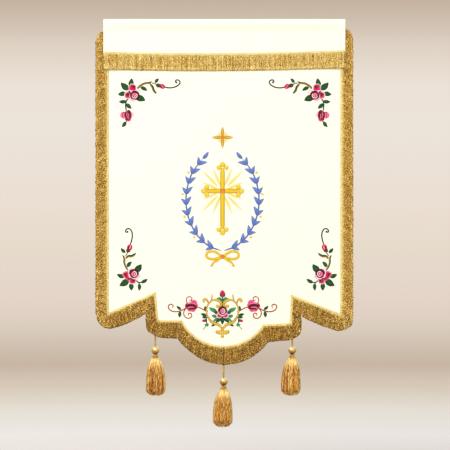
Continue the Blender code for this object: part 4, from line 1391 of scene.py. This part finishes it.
def emblem_half():
    """One branch of the oval wreath with its leaves and berries, and its side of the rays, arms and bow."""
    branch = (
        (221.0, 250.6), (208.0, 245.4), (195.4, 232.6), (187.4, 213.6), (186.4, 193.0), (192.0, 173.4),
        (202.6, 158.8),
    )
    shapes = [Vine("blue vine", 1.5, branch)]
    line, _ = smooth_line(branch, 43)
    for step in range(3, 43, 4):
        place = line[step]
        run = line[min(step + 1, 42)] - line[step - 1]
        heading = math.atan2(run[1], run[0])
        for side, reach, wide in ((1, 10.4, 3.9), (-1, 8.6, 3.4)):
            turn = heading + side * 0.62
            tip = place + reach * np.array((math.cos(turn), math.sin(turn)))
            shapes.append(Blade("blue leaf", *place, *tip, wide, side * 0.9))
        if step % 8 == 3:
            beside = 3.6 * np.array((-run[1], run[0])) / np.linalg.norm(run)
            shapes.append(round_bead("yellow bead", *(place - beside), 2.3))
    shapes.append(Blade("blue leaf", *line[-1], 208.6, 151.4, 3.8, -0.6))
    for degrees, reach in ((-67, 25.0), (-45, 29.0), (-23, 22.0), (23, 22.0), (45, 29.0), (67, 25.0)):
        turn = math.radians(180 + degrees)
        cos, sin = math.cos(turn), math.sin(turn)
        tip = MOTIF_AXIS + reach * cos, CROSS_ROW + reach * sin
        shapes.append(Blade("ray", MOTIF_AXIS + 6 * cos, CROSS_ROW + 6 * sin, *tip, 2.6))
    return shapes + [
        Vine("yellow", 4.6, ((MOTIF_AXIS, CROSS_ROW), (214.0, CROSS_ROW), (206.4, CROSS_ROW))),
        round_bead("yellow bead", 203.6, CROSS_ROW, 5.4),
        round_bead("yellow bead", 206.6, 187.2, 4.6),
        round_bead("yellow bead", 206.6, 194.8, 4.6),
        round_bead("pale blue", 203.8, CROSS_ROW, 2.2),
        round_bead("yellow bead", 218.7, 167.6, 4.6),
        round_bead("yellow bead", 218.7, 229.6, 4.6),
        Vine("yellow", 2.4, (
            (222.0, 256.4), (214.4, 251.6), (207.6, 252.4), (206.8, 257.0), (212.6, 259.2), (222.0, 257.0),
        )),
        Vine("yellow", 2.0, ((221.6, 257.4), (217.4, 260.4), (213.6, 262.6), (210.8, 266.8))),
    ]


def emblem_middle():
    """The cross's upright with its budded ends, the star above and the knot of the bow."""
    shapes = [
        Vine("yellow", 4.6, ((MOTIF_AXIS, 167.8), (MOTIF_AXIS, 198.0), (MOTIF_AXIS, 229.6))),
        *[round_bead("yellow bead", MOTIF_AXIS, row, 5.4) for row in (164.6, 232.6)],
        *[round_bead("red", MOTIF_AXIS, row, 2.2) for row in (164.8, 232.4)],
        round_bead("orange", MOTIF_AXIS, CROSS_ROW, 5.6),
        round_bead("pale blue", MOTIF_AXIS, CROSS_ROW, 3.0),
    ]
    for number in range(8):
        look, reach = ("ray", 6.6) if number % 2 else ("gold leaf", 11.0)
        turn = math.radians(45 * number - 90)
        tip = (MOTIF_AXIS + reach * math.cos(turn), STAR_ROW + reach * math.sin(turn))
        shapes.append(Blade(look, MOTIF_AXIS, STAR_ROW, *tip, 3.6))
    shapes.append(round_bead("orange", MOTIF_AXIS, STAR_ROW, 3.4))
    shapes.append(round_bead("orange", MOTIF_AXIS, 256.6, 4.4))
    return shapes


def mirrored(shapes, axis):
    """The same shapes on the other side of a pixel column."""
    found = []
    for shape in shapes:
        if isinstance(shape, Vine):
            points = tuple((2 * axis - column, row) for column, row in shape.points)
            found.append(shape._replace(points=points))
        else:
            column, tip_column = 2 * axis - shape.column, 2 * axis - shape.tip_column
            found.append(shape._replace(column=column, tip_column=tip_column, bow=-shape.bow))
    return found


def add_embroidery(name, shapes):
    """All of a motif's shapes as one raised piece, a later shape above an earlier one."""
    return piece(name, merged([stitched(shape, order) for order, shape in enumerate(shapes)]), thread_finish)


MOTIFS = {
    "spray_top_left": UPPER_SPRAY,
    "spray_top_right": mirrored(UPPER_SPRAY, UPPER_AXIS),
    "spray_bottom_left": LOWER_SPRAY,
    "spray_bottom_right": mirrored(LOWER_SPRAY, LOWER_AXIS),
    "lower_ornament": ORNAMENT_HALF + mirrored(ORNAMENT_HALF, MOTIF_AXIS) + ORNAMENT_MIDDLE,
    "centre_emblem": emblem_half() + mirrored(emblem_half(), MOTIF_AXIS) + emblem_middle(),
}
motif_pieces = [add_embroidery(name, shapes) for name, shapes in MOTIFS.items()]


banner_cloth = add_banner_cloth()
sleeve_cloth = add_sleeve_cloth()
hem_seam = stitch_run(hem_line(HEM_INNER * 0.7), lambda x, z: drape(x, z) + PANEL_THICK / 2 + HEM_THICK)
whips = [loop for tassel in TASSELS for loop in whip_stitches(tassel)]
hem_stitches = add_stitches("hem_stitches", [hem_seam, *whips])
sleeve_line = np.array([(x, SLEEVE_BACK_LOW + SEAM_UP) for x in np.linspace(-SEAM_HALF, SEAM_HALF, 40)])
sleeve_seam = stitch_run(sleeve_line, lambda x, z: PANEL_THICK / 2 + SEWN_GAP + SLEEVE_THICK)
sleeve_stitches = add_stitches("sleeve_stitches", [sleeve_seam])


# Stage

FLOOR_RADIUS = 8.6
FLOOR_SIDES = 96
FLOOR_Z = -1.62
BANNER_MIDDLE = Vector((0, 0, -0.65))
# The floor's own warm pale colours by share of its radius, with painted light: lightest in a ring round the
# middle, darker and warmer further out.
FLOOR_STOPS = (
    (0.277, (228, 220, 211)),
    (0.400, (248, 241, 234)),
    (0.552, (246, 237, 223)),
    (0.742, (235, 218, 198)),
    (0.855, (229, 209, 189)),
    (0.985, (221, 199, 176)),
)
# The studio wall's colours by height, and above them the white ceiling that lights the banner
SKY_STOPS = (
    (0.110, (198, 181, 161)),
    (0.130, (207, 192, 176)),
    (0.150, (220, 206, 191)),
    (0.175, (228, 212, 200)),
    (0.230, (231, 219, 204)),
    (0.270, (235, 222, 210)),
    (0.350, (236, 228, 218)),
    (0.390, (236, 225, 214)),
    (0.430, (222, 209, 195)),
    (0.450, (208, 193, 177)),
    (0.475, (195, 177, 157)),
    (0.560, (214, 212, 208)),
    (0.800, (228, 230, 232)),
)


def add_floor():
    turns = np.linspace(0, 2 * np.pi, FLOOR_SIDES, endpoint=False)
    points = [(FLOOR_RADIUS * math.cos(turn), FLOOR_RADIUS * math.sin(turn), FLOOR_Z) for turn in turns]
    mesh = bpy.data.meshes.new("floor")
    mesh.from_pydata(points, [], [tuple(range(FLOOR_SIDES))])
    made, tree, shader = nodes_of("studio floor")
    far = add_node(tree, "ShaderNodeVectorMath", {0: place_of(tree)}, operation="LENGTH").outputs["Value"]
    share = maths(tree, "MULTIPLY", far, 1 / FLOOR_RADIUS)
    feed(tree, shader, {
        "Base Color": ramp(tree, share, FLOOR_STOPS),
        "Roughness": 0.9,
        "Specular IOR Level": 0.1,
    })
    mesh.materials.append(made)
    floor = bpy.data.objects.new("floor", mesh)
    bpy.context.scene.collection.objects.link(floor)


def add_sky():
    world = bpy.data.worlds.new("studio")
    world.use_nodes = True
    bpy.context.scene.world = world
    tree = world.node_tree
    split = parts_of(tree, add_node(tree, "ShaderNodeTexCoord").outputs["Generated"])
    height = scaled(tree, split["Z"], 2.5, 0.25)
    feed(tree, tree.nodes["Background"], {"Color": ramp(tree, height, SKY_STOPS), "Strength": 1.0})


def add_lamp(name, place, size, spread, power, glossy=True):
    """A broad lamp aimed at the banner's middle. spread is in degrees, power in watts."""
    data = bpy.data.lights.new(name, "AREA")
    data.size = size
    data.spread = math.radians(spread)
    data.energy = power
    lamp = bpy.data.objects.new(name, data)
    lamp.location = place
    lamp.rotation_euler = (BANNER_MIDDLE - Vector(place)).to_track_quat("-Z", "Y").to_euler()
    lamp.visible_camera = False
    lamp.visible_glossy = glossy
    bpy.context.scene.collection.objects.link(lamp)


# A pale floor, a soft studio sky in warm greys and three broad lamps
bpy.context.scene.view_settings.view_transform = "Standard"
add_floor()
add_sky()
add_lamp("key lamp", (-2.0, -4.3, 2.4), 3.2, 180, 205.0)
add_lamp("fill lamp", (3.2, -4.0, -0.2), 2.4, 180, 28.0)
add_lamp("rear lamp", (0.0, 5.0, 1.6), 2.4, 40, 11.0, glossy=False)
